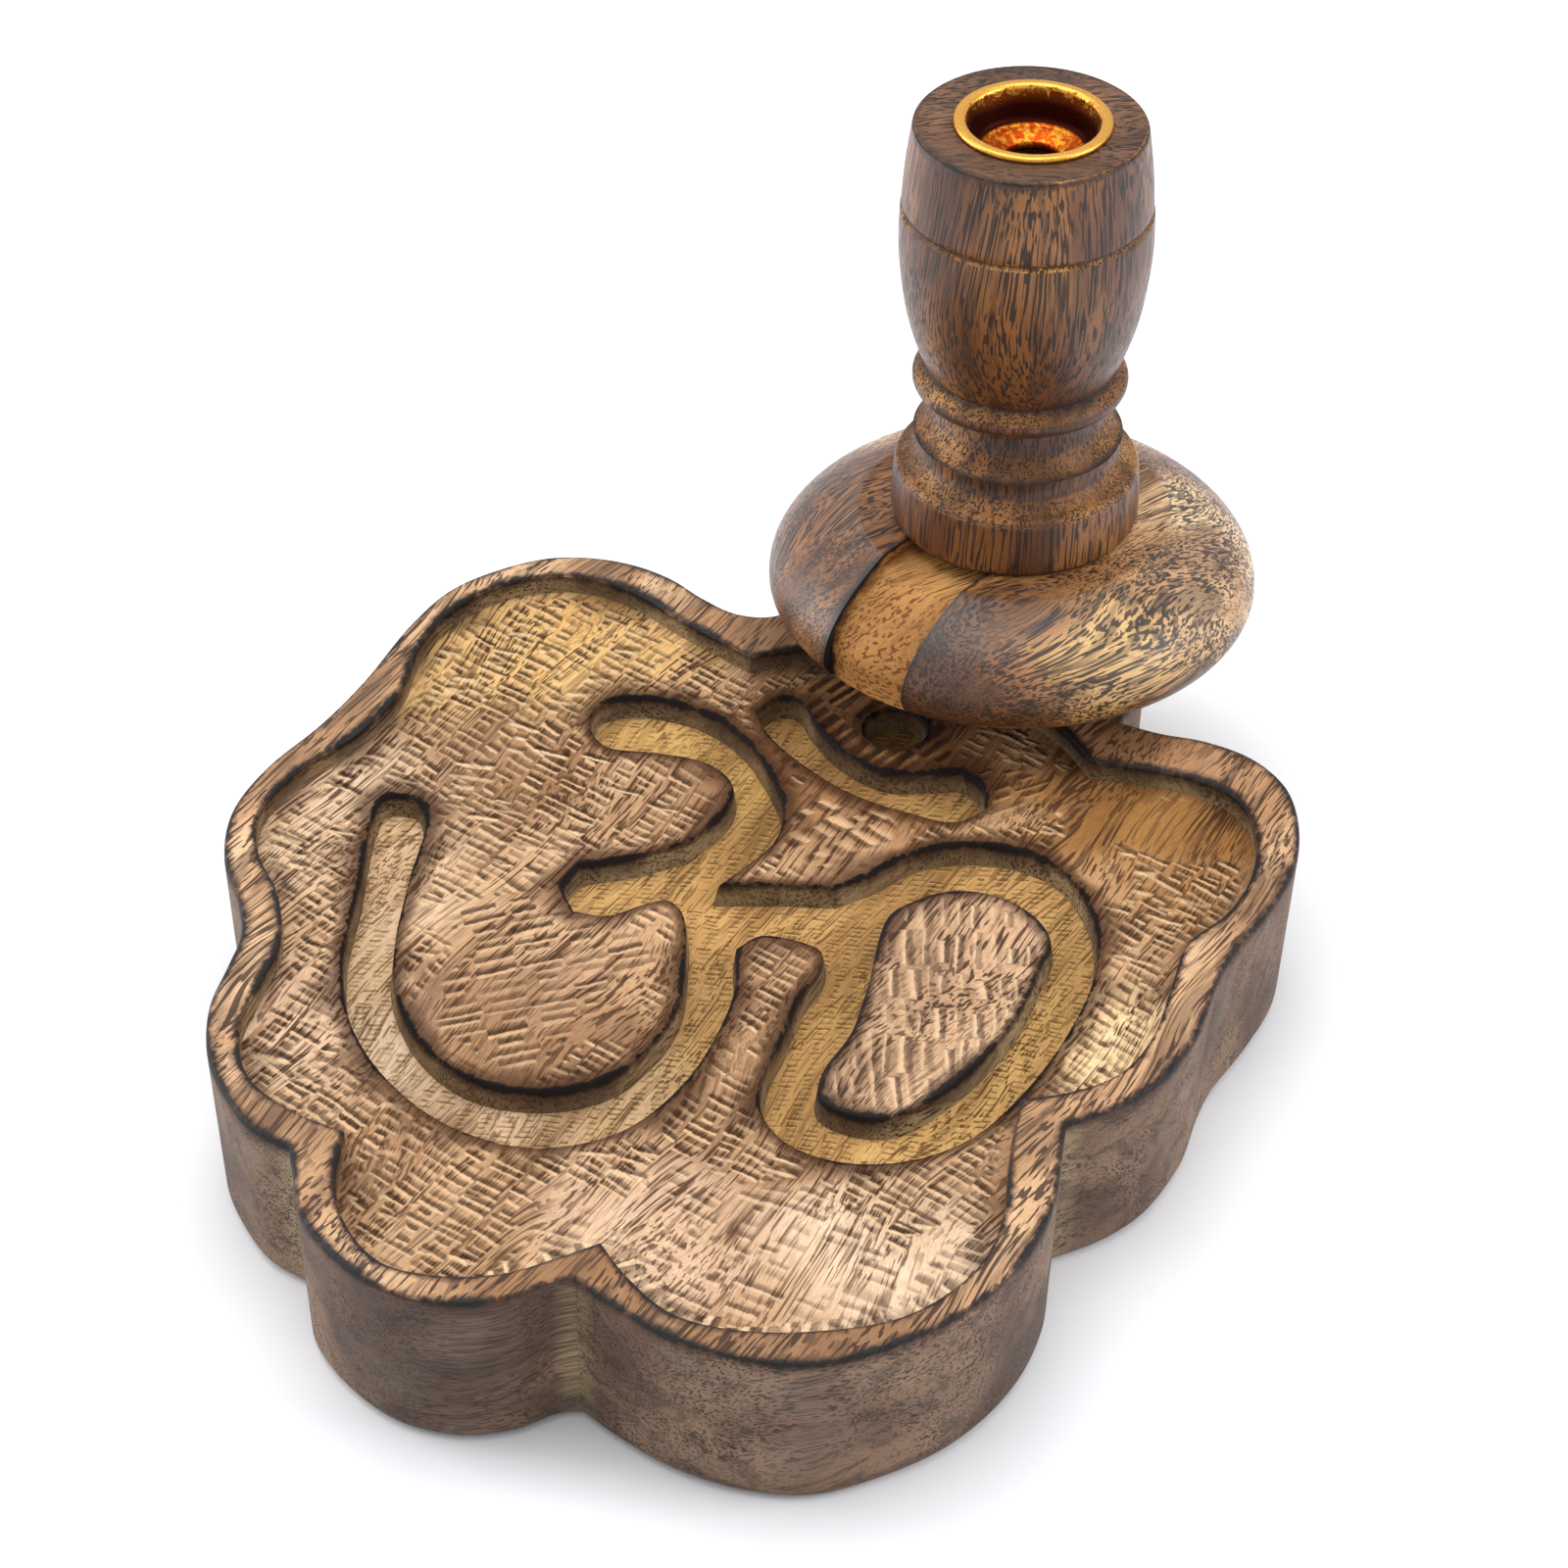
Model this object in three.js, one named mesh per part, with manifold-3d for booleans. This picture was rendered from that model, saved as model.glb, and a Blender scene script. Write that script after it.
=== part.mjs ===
// Smoke-fall incense burner: a turned stem with a brass cone cup stands on a flattened bun,
// and the bun stands at the back of a carved, cloud-shaped tray with a sunk field and an Om cut
// into it as the smoke's channel. Smoke sinks through the cup and the stem, leaves by the chute
// in the bun and fills the carving.
// Millimetres, +Z up. Plan places are taken from the stem's axis, with +Y away from the tray.

import * as THREE from "three";
import { mergeVertices } from "three/addons/utils/BufferGeometryUtils.js";
import Module from "manifold-3d";

const wasm = await Module();
wasm.setup();

// ---- driving dimensions ----

const GLUE_LINE = 0.1; // gap between glued faces
const FIT = 0.3; // radial gap round the cup, the screws and the bore

const TRAY_THICKNESS = 23.7;
const TRAY_MIDDLE = [-7.3, -68.3];
const BASE_SHARE = 0.98; // the walls lean in, so the underside is this share of the rim's outline
const FIELD_DEPTH = 3; // from the rim down to the chased field
const GROOVE_DEPTH = 3.4; // from the field down to the Om's floor
const CURVE_STEPS = 3; // straight steps between two outline points
const ROUND_STEPS = 48; // straight steps round a turned piece
const BUN_STEPS = 60; // and round the bun

const BUN_RADIUS = 32.8;
const BUN_EQUATOR_Z = 32.7;
const BUN_CROWN = 13.6; // half height of the upper half before its top is turned flat
const BUN_BELLY = 9.7; // half height of the lower half before its foot is turned flat
const BUN_SEAT_Z = 43.2; // flat turned on top for the stem
const BUN_FOOT_Z = TRAY_THICKNESS + GLUE_LINE;
const CHUTE_HEADING = -102; // degrees, in plan
const CHUTE_WIDTH = 13;
const CHUTE_DEPTH = 1.9;

const STEM_FOOT_Z = BUN_SEAT_Z + GLUE_LINE;
const STEM_TOP_Z = 102.2;
const BORE_RADIUS = 4.1;
const SOCKET_DEPTH = 6.4;

const CUP_FLANGE_RADIUS = 10.2;
const CUP_FLANGE_TOP_Z = STEM_TOP_Z + 0.8;
const CUP_BODY_RADIUS = 9.1;
const CUP_HOLE_RADIUS = 3.7;
const CUP_OFFSET_X = 0.3; // the cup sits a little to one side in its socket

const SCREW_RADIUS = 2;
const SCREW_HEAD_RADIUS = 4;
const SCREW_HEAD_HEIGHT = 2.4;
const SCREW_SINK = 0.5; // head below the tray's underside
const SCREW_TIP_Z = 54;
const SCREW_PLACES = { foot_screw_left: [-7, 4.5], foot_screw_right: [7, 4.5] };

// ---- outlines: runs of points, each run a smooth curve, with a corner where two runs meet ----

const TRAY_EDGE = [
  [[50.5, -89.3], [54.8, -83], [57.3, -76], [57.6, -66], [55.9, -57], [55.3, -51], [55.8, -41],
    [55.3, -31], [52.3, -22], [47.5, -15], [41, -11.3], [34, -10.8], [28, -12], [22.5, -12.3]],
  [[22.5, -12.3], [21.5, -3], [17, 6.5], [8.5, 13.5], [-2, 16], [-13, 13.5], [-21.5, 6.5],
    [-26, -3.5], [-29.5, -12.6], [-34, -14.6], [-40, -13.6], [-46, -11.6], [-52, -11.1],
    [-58, -12.3], [-63.5, -15.3], [-68.5, -21.5], [-71.6, -28.5], [-72.2, -38], [-71, -52],
    [-71, -63], [-72.2, -75], [-71, -85], [-66.5, -93.6], [-60.5, -99.8], [-56.6, -105.2],
    [-54.6, -111.5], [-52.4, -119], [-47.5, -127], [-41, -132.8], [-35.5, -136], [-29.6, -136.9]],
  [[-29.6, -136.9], [-26.7, -140.6], [-22.3, -146.2], [-15.6, -150.3], [-7, -152.6],
    [1, -151.1], [6.6, -146.9], [9.6, -142.4], [11.8, -140.7]],
  [[11.8, -140.7], [17.5, -142.4], [26, -143.9], [35, -143.2], [43, -139.9], [49.5, -132.6],
    [54.1, -124.1], [56.3, -113], [55.2, -102.5], [52.2, -94], [50.5, -89.3]],
];

const FIELD_EDGE = [
  [[22.4, -22], [16.4, -17.7], [8, -14], [-3, -12.7], [-14, -14], [-22.4, -17.6], [-27.9, -22.6]],
  [[-27.9, -22.6], [-34, -21.2], [-41, -19.4], [-48, -17.2], [-55, -16.7], [-61, -19],
    [-66.4, -25], [-68.9, -33], [-68.4, -42], [-65.4, -52], [-65.5, -62], [-68.2, -74],
    [-67.6, -83.5], [-63.4, -90.2], [-56.7, -96.2], [-51.2, -104.6], [-49.2, -112.5],
    [-46.8, -120.8], [-41, -127.8], [-33, -130.7], [-25.4, -131]],
  [[-25.4, -131], [-22, -138.6], [-16.6, -144.9], [-9.4, -148.5], [-2.8, -147.4], [3.6, -143.6],
    [8.2, -137.9], [11.2, -133.5]],
  [[11.2, -133.5], [16.6, -137], [24.5, -140.1], [32, -139], [40.7, -134.5], [48.2, -127.6],
    [51.8, -117], [50.6, -107], [46.6, -97], [43.4, -87.4]],
  [[43.4, -87.4], [48.3, -83.2], [52, -77.5], [52.7, -69], [50.6, -58.5], [49.1, -50.5],
    [51, -43], [50.8, -34.5], [47.5, -25.5], [41.8, -20], [34.4, -19.2], [28, -20.6], [22.4, -22]],
];

const OM_EDGE = [
  [[-23.7, -78.4], [-19.4, -77], [-16.8, -73.2], [-14.4, -70.8], [-11.6, -71.9], [-6.4, -80.7],
    [-3, -89], [-2.3, -97], [-4, -104.6], [-9.6, -110.6], [-18, -112.9], [-26.5, -110.4],
    [-35, -103.4], [-40.5, -94.6], [-46, -81.6], [-50.2, -70.8], [-53.4, -67.8], [-57.2, -69.4],
    [-56.2, -74.4], [-50.4, -87.2], [-44.6, -100.4], [-37.8, -110], [-27.6, -117.6],
    [-16, -121.4], [-5.6, -120], [1.8, -113], [4.4, -103], [4, -93], [1.6, -82.4], [-2, -75.2]],
  [[-2, -75.2], [-0.6, -71.6], [3, -70.3], [7.6, -70.5], [9.2, -73.6], [9.6, -80.2],
    [11.2, -87.6], [12.4, -94.6], [15.2, -101], [20.4, -104.7], [27, -105.1], [34.2, -101.6],
    [39.6, -94.4], [41.8, -84], [41.9, -70], [39.6, -57], [34.4, -47.2], [26, -40.8],
    [16.4, -41.2], [9.4, -46.6], [6, -54], [3.6, -58.2]],
  [[3.6, -58.2], [-3.4, -61.4], [-10, -64.9]],
  [[-10, -64.9], [-8.8, -59.4], [-8, -53.6], [-10.2, -46.6], [-15.6, -40.6], [-22.4, -35.4],
    [-30, -33], [-38.4, -34.4], [-42.4, -38.2], [-41, -43.4], [-36.8, -46], [-30.4, -44],
    [-23.4, -42.9], [-18.4, -45.4], [-16.6, -51], [-17.8, -59.2]],
  [[-17.8, -59.2], [-22.6, -65.3], [-27.8, -69.9]],
  [[-27.8, -69.9], [-27.4, -74.6], [-23.7, -78.4]],
];

const OM_ISLAND = [
  [[12, -60.4], [13, -56.9], [16.6, -52], [22.4, -50], [28.5, -51.5], [32.4, -55], [33.6, -61],
    [35, -70], [34.8, -79], [33.2, -87.4], [29.8, -94.8], [25, -96.8], [20.6, -95.8],
    [18.6, -91.6], [18.2, -83], [16, -74]],
];

const CRESCENT_EDGE = [
  [[-23.2, -29.7], [-22, -25.6], [-19.1, -25], [-14.6, -28.6], [-8.4, -32.2], [-2, -33.4],
    [2.6, -31.2], [6.6, -28.6]],
  [[6.6, -28.6], [10.6, -30.2], [13.2, -34.4]],
  [[13.2, -34.4], [10.8, -38.8], [5, -39.8], [-3, -39.8], [-11, -37.6], [-19.4, -33.4],
    [-23.2, -29.7]],
];

const DOT = { x: -5, y: -24.4, radius: 4.2 };

// ---- turned profiles: [radius, z] ----

const STEM_PROFILE = [
  [16.0, STEM_FOOT_Z], [16.4, 44], [16.5, 47.5], [16.3, 51], [15.9, 51.7], [14.7, 52.2],
  [13.6, 53.2], [13.2, 54.4], [13.2, 55.9], [13.9, 56.3], [12.6, 57.2], [11.4, 58.8],
  [10.7, 61], [10.7, 62.6], [12.6, 63], [13.8, 63.5], [14.2, 64.3], [14.1, 65.2], [12.5, 66.8],
  [13.7, 69.5], [15.2, 74.5], [16.1, 80], [16.5, 85], [16.4, 90], [16.05, 90.6], [16.25, 91.2],
  [15.9, 96], [15.2, 101.4], [14.8, STEM_TOP_Z],
];

const CUP_INSIDE = [[8.8, CUP_FLANGE_TOP_Z], [8.5, 102.6], [7.4, 98.7], [7, 98.4],
  [5.4, 98], [CUP_HOLE_RADIUS, 97.4]];
const CUP_OUTSIDE = [[CUP_HOLE_RADIUS, 96.6], [7.3, 97.2], [8.2, 98.2], [CUP_BODY_RADIUS, 101.6],
  [CUP_BODY_RADIUS, STEM_TOP_Z + GLUE_LINE], [CUP_FLANGE_RADIUS, STEM_TOP_Z + GLUE_LINE],
  [CUP_FLANGE_RADIUS, CUP_FLANGE_TOP_Z - 0.2], [CUP_FLANGE_RADIUS - 0.25, CUP_FLANGE_TOP_Z]];

// ---- finishes ----

const wood = (color) => new THREE.MeshStandardMaterial({ color, roughness: 0.55, metalness: 0 });
const brass = () => new THREE.MeshStandardMaterial({ color: 0xd9a441, roughness: 0.3, metalness: 1 });
const steel = () => new THREE.MeshStandardMaterial({ color: 0x9a9890, roughness: 0.4, metalness: 1 });

// ---- helpers ----

function toSolid(geometry) {
  const bare = geometry.clone();
  bare.deleteAttribute("normal");
  bare.deleteAttribute("uv");
  const merged = mergeVertices(bare, 1e-4);
  return new wasm.Manifold(new wasm.Mesh({
    numProp: 3,
    vertProperties: new Float32Array(merged.attributes.position.array),
    triVerts: new Uint32Array(merged.index.array),
  }));
}

function toGeometry(solid) {
  const mesh = solid.getMesh();
  const geometry = new THREE.BufferGeometry();
  geometry.setAttribute("position", new THREE.BufferAttribute(mesh.vertProperties, 3));
  geometry.setIndex(new THREE.BufferAttribute(mesh.triVerts, 1));
  geometry.computeVertexNormals();
  return geometry;
}

function curvePoints(run, closed) {
  const curve = new THREE.CatmullRomCurve3(
    run.map(([x, y]) => new THREE.Vector3(x, y, 0)), closed, "centripetal");
  const points = curve.getPoints((closed ? run.length : run.length - 1) * CURVE_STEPS);
  return points.slice(0, -1).map((p) => new THREE.Vector2(p.x, p.y));
}

function outline(runs) {
  return new THREE.Shape(runs.flatMap((run) => curvePoints(run, runs.length === 1)));
}

function slab(shape, bottom, top) {
  const geometry = new THREE.ExtrudeGeometry(shape, { depth: top - bottom, bevelEnabled: false });
  return geometry.translate(0, 0, bottom);
}

// Draws the underside of the board in towards its middle.
function leanIn(geometry) {
  const [middleX, middleY] = TRAY_MIDDLE;
  const places = geometry.attributes.position;
  for (let i = 0; i < places.count; i += 1) {
    const share = BASE_SHARE + (1 - BASE_SHARE) * (places.getZ(i) / TRAY_THICKNESS);
    places.setX(i, middleX + (places.getX(i) - middleX) * share);
    places.setY(i, middleY + (places.getY(i) - middleY) * share);
  }
  return geometry;
}

function turned(profile, segments = ROUND_STEPS) {
  const points = profile.map(([radius, z]) => new THREE.Vector2(radius, z));
  return new THREE.LatheGeometry(points, segments).rotateX(Math.PI / 2);
}

function rod(radius, bottom, top, x = 0, y = 0, segments = 32) {
  const geometry = new THREE.CylinderGeometry(radius, radius, top - bottom, segments);
  return geometry.rotateX(Math.PI / 2).translate(x, y, (top + bottom) / 2);
}

function piece(name, geometry, material) {
  const mesh = new THREE.Mesh(geometry, material);
  mesh.name = name;
  return mesh;
}

// ---- pieces ----

// Clearance for both foot screws between two heights.
function screwHoles(solid, bottom, top) {
  return Object.values(SCREW_PLACES).reduce(
    (left, [x, y]) => left.subtract(toSolid(rod(SCREW_RADIUS + FIT, bottom, top, x, y))), solid);
}

function screwSinks(solid) {
  const mouth = SCREW_HEAD_RADIUS + FIT;
  const profile = [[0, -1], [mouth, -1], [mouth, SCREW_SINK],
    [SCREW_RADIUS + FIT, SCREW_SINK + SCREW_HEAD_HEIGHT], [0, SCREW_SINK + SCREW_HEAD_HEIGHT]];
  return Object.values(SCREW_PLACES).reduce(
    (left, [x, y]) => left.subtract(toSolid(turned(profile, 32).translate(x, y, 0))), solid);
}

// The board with its sunk field, and the Om, crescent and dot cut below the field.
function tray() {
  const fieldZ = TRAY_THICKNESS - FIELD_DEPTH;
  const floorZ = fieldZ - GROOVE_DEPTH;
  const above = TRAY_THICKNESS + 1;
  let solid = toSolid(leanIn(slab(outline(TRAY_EDGE), 0, TRAY_THICKNESS)));
  solid = solid.subtract(toSolid(slab(outline(FIELD_EDGE), fieldZ, above)));
  const om = toSolid(slab(outline(OM_EDGE), floorZ, above))
    .subtract(toSolid(slab(outline(OM_ISLAND), floorZ - 1, above + 1)));
  solid = solid.subtract(om);
  solid = solid.subtract(toSolid(slab(outline(CRESCENT_EDGE), floorZ, above)));
  solid = solid.subtract(toSolid(rod(DOT.radius, floorZ, above, DOT.x, DOT.y)));
  solid = screwHoles(solid, -1, above);
  return piece("tray", toGeometry(screwSinks(solid)), wood(0x9a7048));
}

// Half of the bun's section, from the foot's centre to the seat's centre, drawn in by "inset".
function bunProfile(inset, foot, seat) {
  const side = BUN_RADIUS - inset;
  const steps = 7;
  const low = Math.asin((BUN_EQUATOR_Z - foot) / (BUN_BELLY - inset));
  const high = Math.asin((seat - BUN_EQUATOR_Z) / (BUN_CROWN - inset));
  const arc = Array.from({ length: 2 * steps + 1 }, (_, i) => {
    const share = (i - steps) / steps;
    const angle = share < 0 ? share * low : share * high;
    const half = share < 0 ? BUN_BELLY - inset : BUN_CROWN - inset;
    return [side * Math.cos(angle), BUN_EQUATOR_Z + half * Math.sin(angle)];
  });
  return [[0, foot], ...arc, [0, seat]];
}

// What the chute cuts away: a round-ended lane less a smaller bun, straight down past its side.
function chute() {
  const half = CHUTE_WIDTH / 2;
  const lane = new THREE.Shape();
  lane.absarc(0, 0, half, Math.PI / 2, Math.PI * 1.5, false);
  lane.lineTo(BUN_RADIUS + 2, -half);
  lane.lineTo(BUN_RADIUS + 2, half);
  const heading = THREE.MathUtils.degToRad(CHUTE_HEADING);
  const sweep = slab(lane, BUN_FOOT_Z - 1, BUN_SEAT_Z + 2).rotateZ(heading);
  const core = turned(bunProfile(CHUTE_DEPTH, BUN_EQUATOR_Z, BUN_SEAT_Z - CHUTE_DEPTH), BUN_STEPS);
  const drop = rod(BUN_RADIUS - CHUTE_DEPTH, BUN_FOOT_Z - 2, BUN_EQUATOR_Z, 0, 0, BUN_STEPS);
  return toSolid(sweep).subtract(toSolid(core)).subtract(toSolid(drop));
}

function bun() {
  let solid = toSolid(turned(bunProfile(0, BUN_FOOT_Z, BUN_SEAT_Z), BUN_STEPS)).subtract(chute());
  solid = screwHoles(solid, BUN_FOOT_Z - 1, BUN_SEAT_Z + 1);
  return piece("bun", toGeometry(solid), wood(0x7d5636));
}

// Collar, cove, bead and barrel in one turned piece, bored right through for the smoke.
function stem() {
  const socketZ = STEM_TOP_Z - SOCKET_DEPTH;
  const socketRadius = CUP_BODY_RADIUS + 2 * FIT;
  const section = [[BORE_RADIUS, STEM_FOOT_Z], ...STEM_PROFILE, [socketRadius, STEM_TOP_Z],
    [socketRadius, socketZ], [BORE_RADIUS, socketZ], [BORE_RADIUS, STEM_FOOT_Z]];
  const solid = screwHoles(toSolid(turned(section)), STEM_FOOT_Z - 1, SCREW_TIP_Z + FIT);
  return piece("stem", toGeometry(solid), wood(0x6f4c30));
}

function brassCup() {
  const section = [...CUP_OUTSIDE, ...CUP_INSIDE, CUP_OUTSIDE[0]];
  const mesh = piece("brass_cup", toGeometry(toSolid(turned(section))), brass());
  mesh.position.x = CUP_OFFSET_X;
  return mesh;
}

// A countersunk wood screw driven up through tray and bun into the stem.
function footScrew(name, [x, y]) {
  const point = SCREW_TIP_Z - 5;
  const profile = [[0, SCREW_SINK], [SCREW_HEAD_RADIUS, SCREW_SINK],
    [SCREW_RADIUS, SCREW_SINK + SCREW_HEAD_HEIGHT], [SCREW_RADIUS, point], [0, SCREW_TIP_Z]];
  const slot = { length: 4.4, width: 0.9, depth: 1.3 };
  const bar = new THREE.BoxGeometry(slot.length, slot.width, slot.depth * 2)
    .translate(0, 0, SCREW_SINK);
  let solid = toSolid(turned(profile, 24));
  solid = solid.subtract(toSolid(bar)).subtract(toSolid(bar.clone().rotateZ(Math.PI / 2)));
  const mesh = piece(name, toGeometry(solid), steel());
  mesh.position.set(x, y, 0);
  return mesh;
}

function incenseBurner() {
  const burner = new THREE.Group();
  burner.add(tray(), bun(), stem(), brassCup());
  Object.entries(SCREW_PLACES).forEach(([name, place]) => burner.add(footScrew(name, place)));
  // the origin stands under the middle of the whole object
  const middle = new THREE.Box3().setFromObject(burner).getCenter(new THREE.Vector3());
  burner.position.set(-middle.x, -middle.y, 0);
  return burner;
}

export default incenseBurner();
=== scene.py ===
"""Smoke-fall incense burner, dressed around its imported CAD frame.

A carved, cloud-shaped tray with a chased field and an Om channel carries a turned bun with a chute.
A bored stem stands on the bun and holds a brass cone cup. Plan places are millimetres from the stem's
axis, with +Y away from the tray, and every mesh is made in the row frame, in metres.
"""
import logging
import math
from contextlib import contextmanager
from dataclasses import dataclass, replace
from enum import Enum
from typing import ClassVar, Iterator, Sequence

import bpy
import numpy as np
from mathutils import Matrix, Vector
from mathutils.kdtree import KDTree
from mathutils.noise import noise_vector


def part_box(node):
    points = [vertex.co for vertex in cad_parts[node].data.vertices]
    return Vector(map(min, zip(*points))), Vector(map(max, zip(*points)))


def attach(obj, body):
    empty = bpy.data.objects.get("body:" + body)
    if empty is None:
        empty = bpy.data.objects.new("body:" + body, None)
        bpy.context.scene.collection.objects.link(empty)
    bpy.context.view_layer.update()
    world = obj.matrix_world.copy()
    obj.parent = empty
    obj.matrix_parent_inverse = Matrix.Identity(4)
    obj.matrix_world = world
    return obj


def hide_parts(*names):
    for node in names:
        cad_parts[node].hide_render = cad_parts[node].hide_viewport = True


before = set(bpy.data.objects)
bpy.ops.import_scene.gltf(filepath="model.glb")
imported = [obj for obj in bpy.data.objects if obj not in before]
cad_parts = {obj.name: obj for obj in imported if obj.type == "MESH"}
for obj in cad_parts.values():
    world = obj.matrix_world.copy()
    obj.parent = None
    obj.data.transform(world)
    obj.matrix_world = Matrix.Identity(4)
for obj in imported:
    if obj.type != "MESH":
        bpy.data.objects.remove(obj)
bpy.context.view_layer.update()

log = logging.getLogger("burner")

MM = 0.001
FULL_TURN = 2 * math.pi

START_RADIUS = 70  # of the circle that a prism is shaped from
SLAB_MARGIN = 3  # how far a slab reaches past its outline
SAME_HEIGHT = 0.001  # heights closer than this are the same
SCREW_STEPS = 32
NO_SLOPE = 1e-12  # keeps a level edge from dividing by nought

Point = tuple[float, float]
Run = tuple[Point, ...]


def stem_axis() -> np.ndarray:
    """Plan place of the stem's axis in the row frame, in millimetres."""
    low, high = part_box("stem")
    return np.array([(low.x + high.x) / 2, (low.y + high.y) / 2]) / MM


AXIS = stem_axis()


# ---- curves and outlines ----


def curve_span(four: np.ndarray, steps: int) -> np.ndarray:
    """Points of a centripetal Catmull-Rom curve between the middle two of four points.

    Args:
        four: Four points in a row, (4, 2).
        steps: How many points to give, the first at the span's start.

    Returns:
        The points, (steps, 2).
    """
    chords = np.linalg.norm(np.diff(four, axis=0), axis=1)
    knots = np.concatenate([[0.0], np.cumsum(np.sqrt(chords))])
    place = np.linspace(knots[1], knots[2], steps, endpoint=False)[:, None]

    def blend(first, second, start, end):
        """Straight blend of two points or rows of points between two knots."""
        return ((end - place) * first + (place - start) * second) / (end - start)

    lines = [blend(four[i], four[i + 1], knots[i], knots[i + 1]) for i in range(3)]
    arcs = [blend(lines[i], lines[i + 1], knots[i], knots[i + 2]) for i in range(2)]
    return blend(arcs[0], arcs[1], knots[1], knots[2])


def smooth_run(run: Run, steps: int, closed: bool = False) -> np.ndarray:
    """A smooth curve through a run of points, without its last point.

    Args:
        run: The points it goes through.
        steps: Points for each span.
        closed: Whether the run is a loop.

    Returns:
        The curve's points, (n, 2).
    """
    points = np.array(run, float)
    if closed:
        padded = np.vstack([points[-1], points, points[:2]])
    else:
        padded = np.vstack([2 * points[0] - points[1], points, 2 * points[-1] - points[-2]])
    return np.concatenate([curve_span(padded[i : i + 4], steps) for i in range(len(padded) - 3)])


def unit(rows: np.ndarray) -> np.ndarray:
    """Each row at length one."""
    return rows / np.linalg.norm(rows, axis=1)[:, None]


@dataclass(frozen=True)
class Outline:
    """A closed plan outline of smooth runs that meet in corners; a single run is a smooth loop."""

    runs: tuple[Run, ...]
    steps: int = 8
    sharpest_mitre: float = 0.35

    def points(self) -> np.ndarray:
        """The outline's points in the row frame, anticlockwise, in millimetres."""
        closed = len(self.runs) == 1
        loop = np.concatenate([smooth_run(run, self.steps, closed) for run in self.runs])
        x, y = loop.T
        area = np.sum(x * np.roll(y, -1) - np.roll(x, -1) * y)
        return (loop if area > 0 else loop[::-1]) + AXIS

    def inset(self, distance: float) -> np.ndarray:
        """The outline's points moved inward by a distance, or outward where it is negative."""
        loop = self.points()
        ahead = unit(np.roll(loop, -1, axis=0) - loop)
        behind = np.roll(ahead, 1, axis=0)
        left_ahead = np.column_stack([-ahead[:, 1], ahead[:, 0]])
        left_behind = np.column_stack([-behind[:, 1], behind[:, 0]])
        fold = 1 + np.sum(left_ahead * left_behind, axis=1)
        mitre = (left_ahead + left_behind) / np.maximum(fold, self.sharpest_mitre)[:, None]
        return loop + distance * mitre

    def trail(self, height: float, spacing: float = 0.15) -> tuple[np.ndarray, np.ndarray]:
        """Closely spaced points along the outline at a height, with how far along each one is.

        Args:
            height: Height of the points, in millimetres.
            spacing: Distance between them.

        Returns:
            The points, (n, 3), and their distances along the outline, (n,).
        """
        loop = self.points()
        loop = np.vstack([loop, loop[:1]])
        along = np.concatenate([[0.0], np.cumsum(np.linalg.norm(np.diff(loop, axis=0), axis=1))])
        places = np.arange(0, along[-1], spacing)
        columns = [np.interp(places, along, loop[:, i]) for i in range(2)]
        return np.column_stack([*columns, np.full(len(places), height)]), places

    def holds(self, places: np.ndarray) -> np.ndarray:
        """Whether each plan place, (n, 2), lies inside the outline."""
        loop = self.points()
        inside = np.zeros(len(places), bool)
        for (x0, y0), (x1, y1) in zip(loop, np.roll(loop, -1, axis=0)):
            crosses = (y0 > places[:, 1]) != (y1 > places[:, 1])
            if crosses.any():
                reach = x0 + (places[:, 1] - y0) * (x1 - x0) / (y1 - y0 + NO_SLOPE)
                inside ^= crosses & (places[:, 0] < reach)
        return inside


def circle_outline(x: float, y: float, radius: float, points: int = 8) -> Outline:
    """A round outline about a plan place."""
    angles = [FULL_TURN * i / points for i in range(points)]
    return Outline((tuple((x + radius * math.cos(a), y + radius * math.sin(a)) for a in angles),))


TRAY_EDGE = Outline((
    ((50.5, -89.3), (54.8, -83), (57.3, -76), (57.6, -66), (55.9, -57), (55.3, -51), (55.8, -41),
     (55.3, -31), (52.3, -22), (47.5, -15), (41, -11.3), (34, -10.8), (28, -12), (22.5, -12.3)),
    ((22.5, -12.3), (21.5, -3), (17, 6.5), (8.5, 13.5), (-2, 16), (-13, 13.5), (-21.5, 6.5),
     (-26, -3.5), (-29.5, -12.6), (-34, -14.6), (-40, -13.6), (-46, -11.6), (-52, -11.1),
     (-58, -12.3), (-63.5, -15.3), (-68.5, -21.5), (-71.6, -28.5), (-72.2, -38), (-71, -52),
     (-71, -63), (-72.2, -75), (-71, -85), (-66.5, -93.6), (-60.5, -99.8), (-56.6, -105.2),
     (-54.6, -111.5), (-52.4, -119), (-47.5, -127), (-41, -132.8), (-35.5, -136), (-29.6, -136.9)),
    ((-29.6, -136.9), (-26.7, -140.6), (-22.3, -146.2), (-15.6, -150.3), (-7, -152.6),
     (1, -151.1), (6.6, -146.9), (9.6, -142.4), (11.8, -140.7)),
    ((11.8, -140.7), (17.5, -142.4), (26, -143.9), (35, -143.2), (43, -139.9), (49.5, -132.6),
     (54.1, -124.1), (56.3, -113), (55.2, -102.5), (52.2, -94), (50.5, -89.3)),
))

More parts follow.
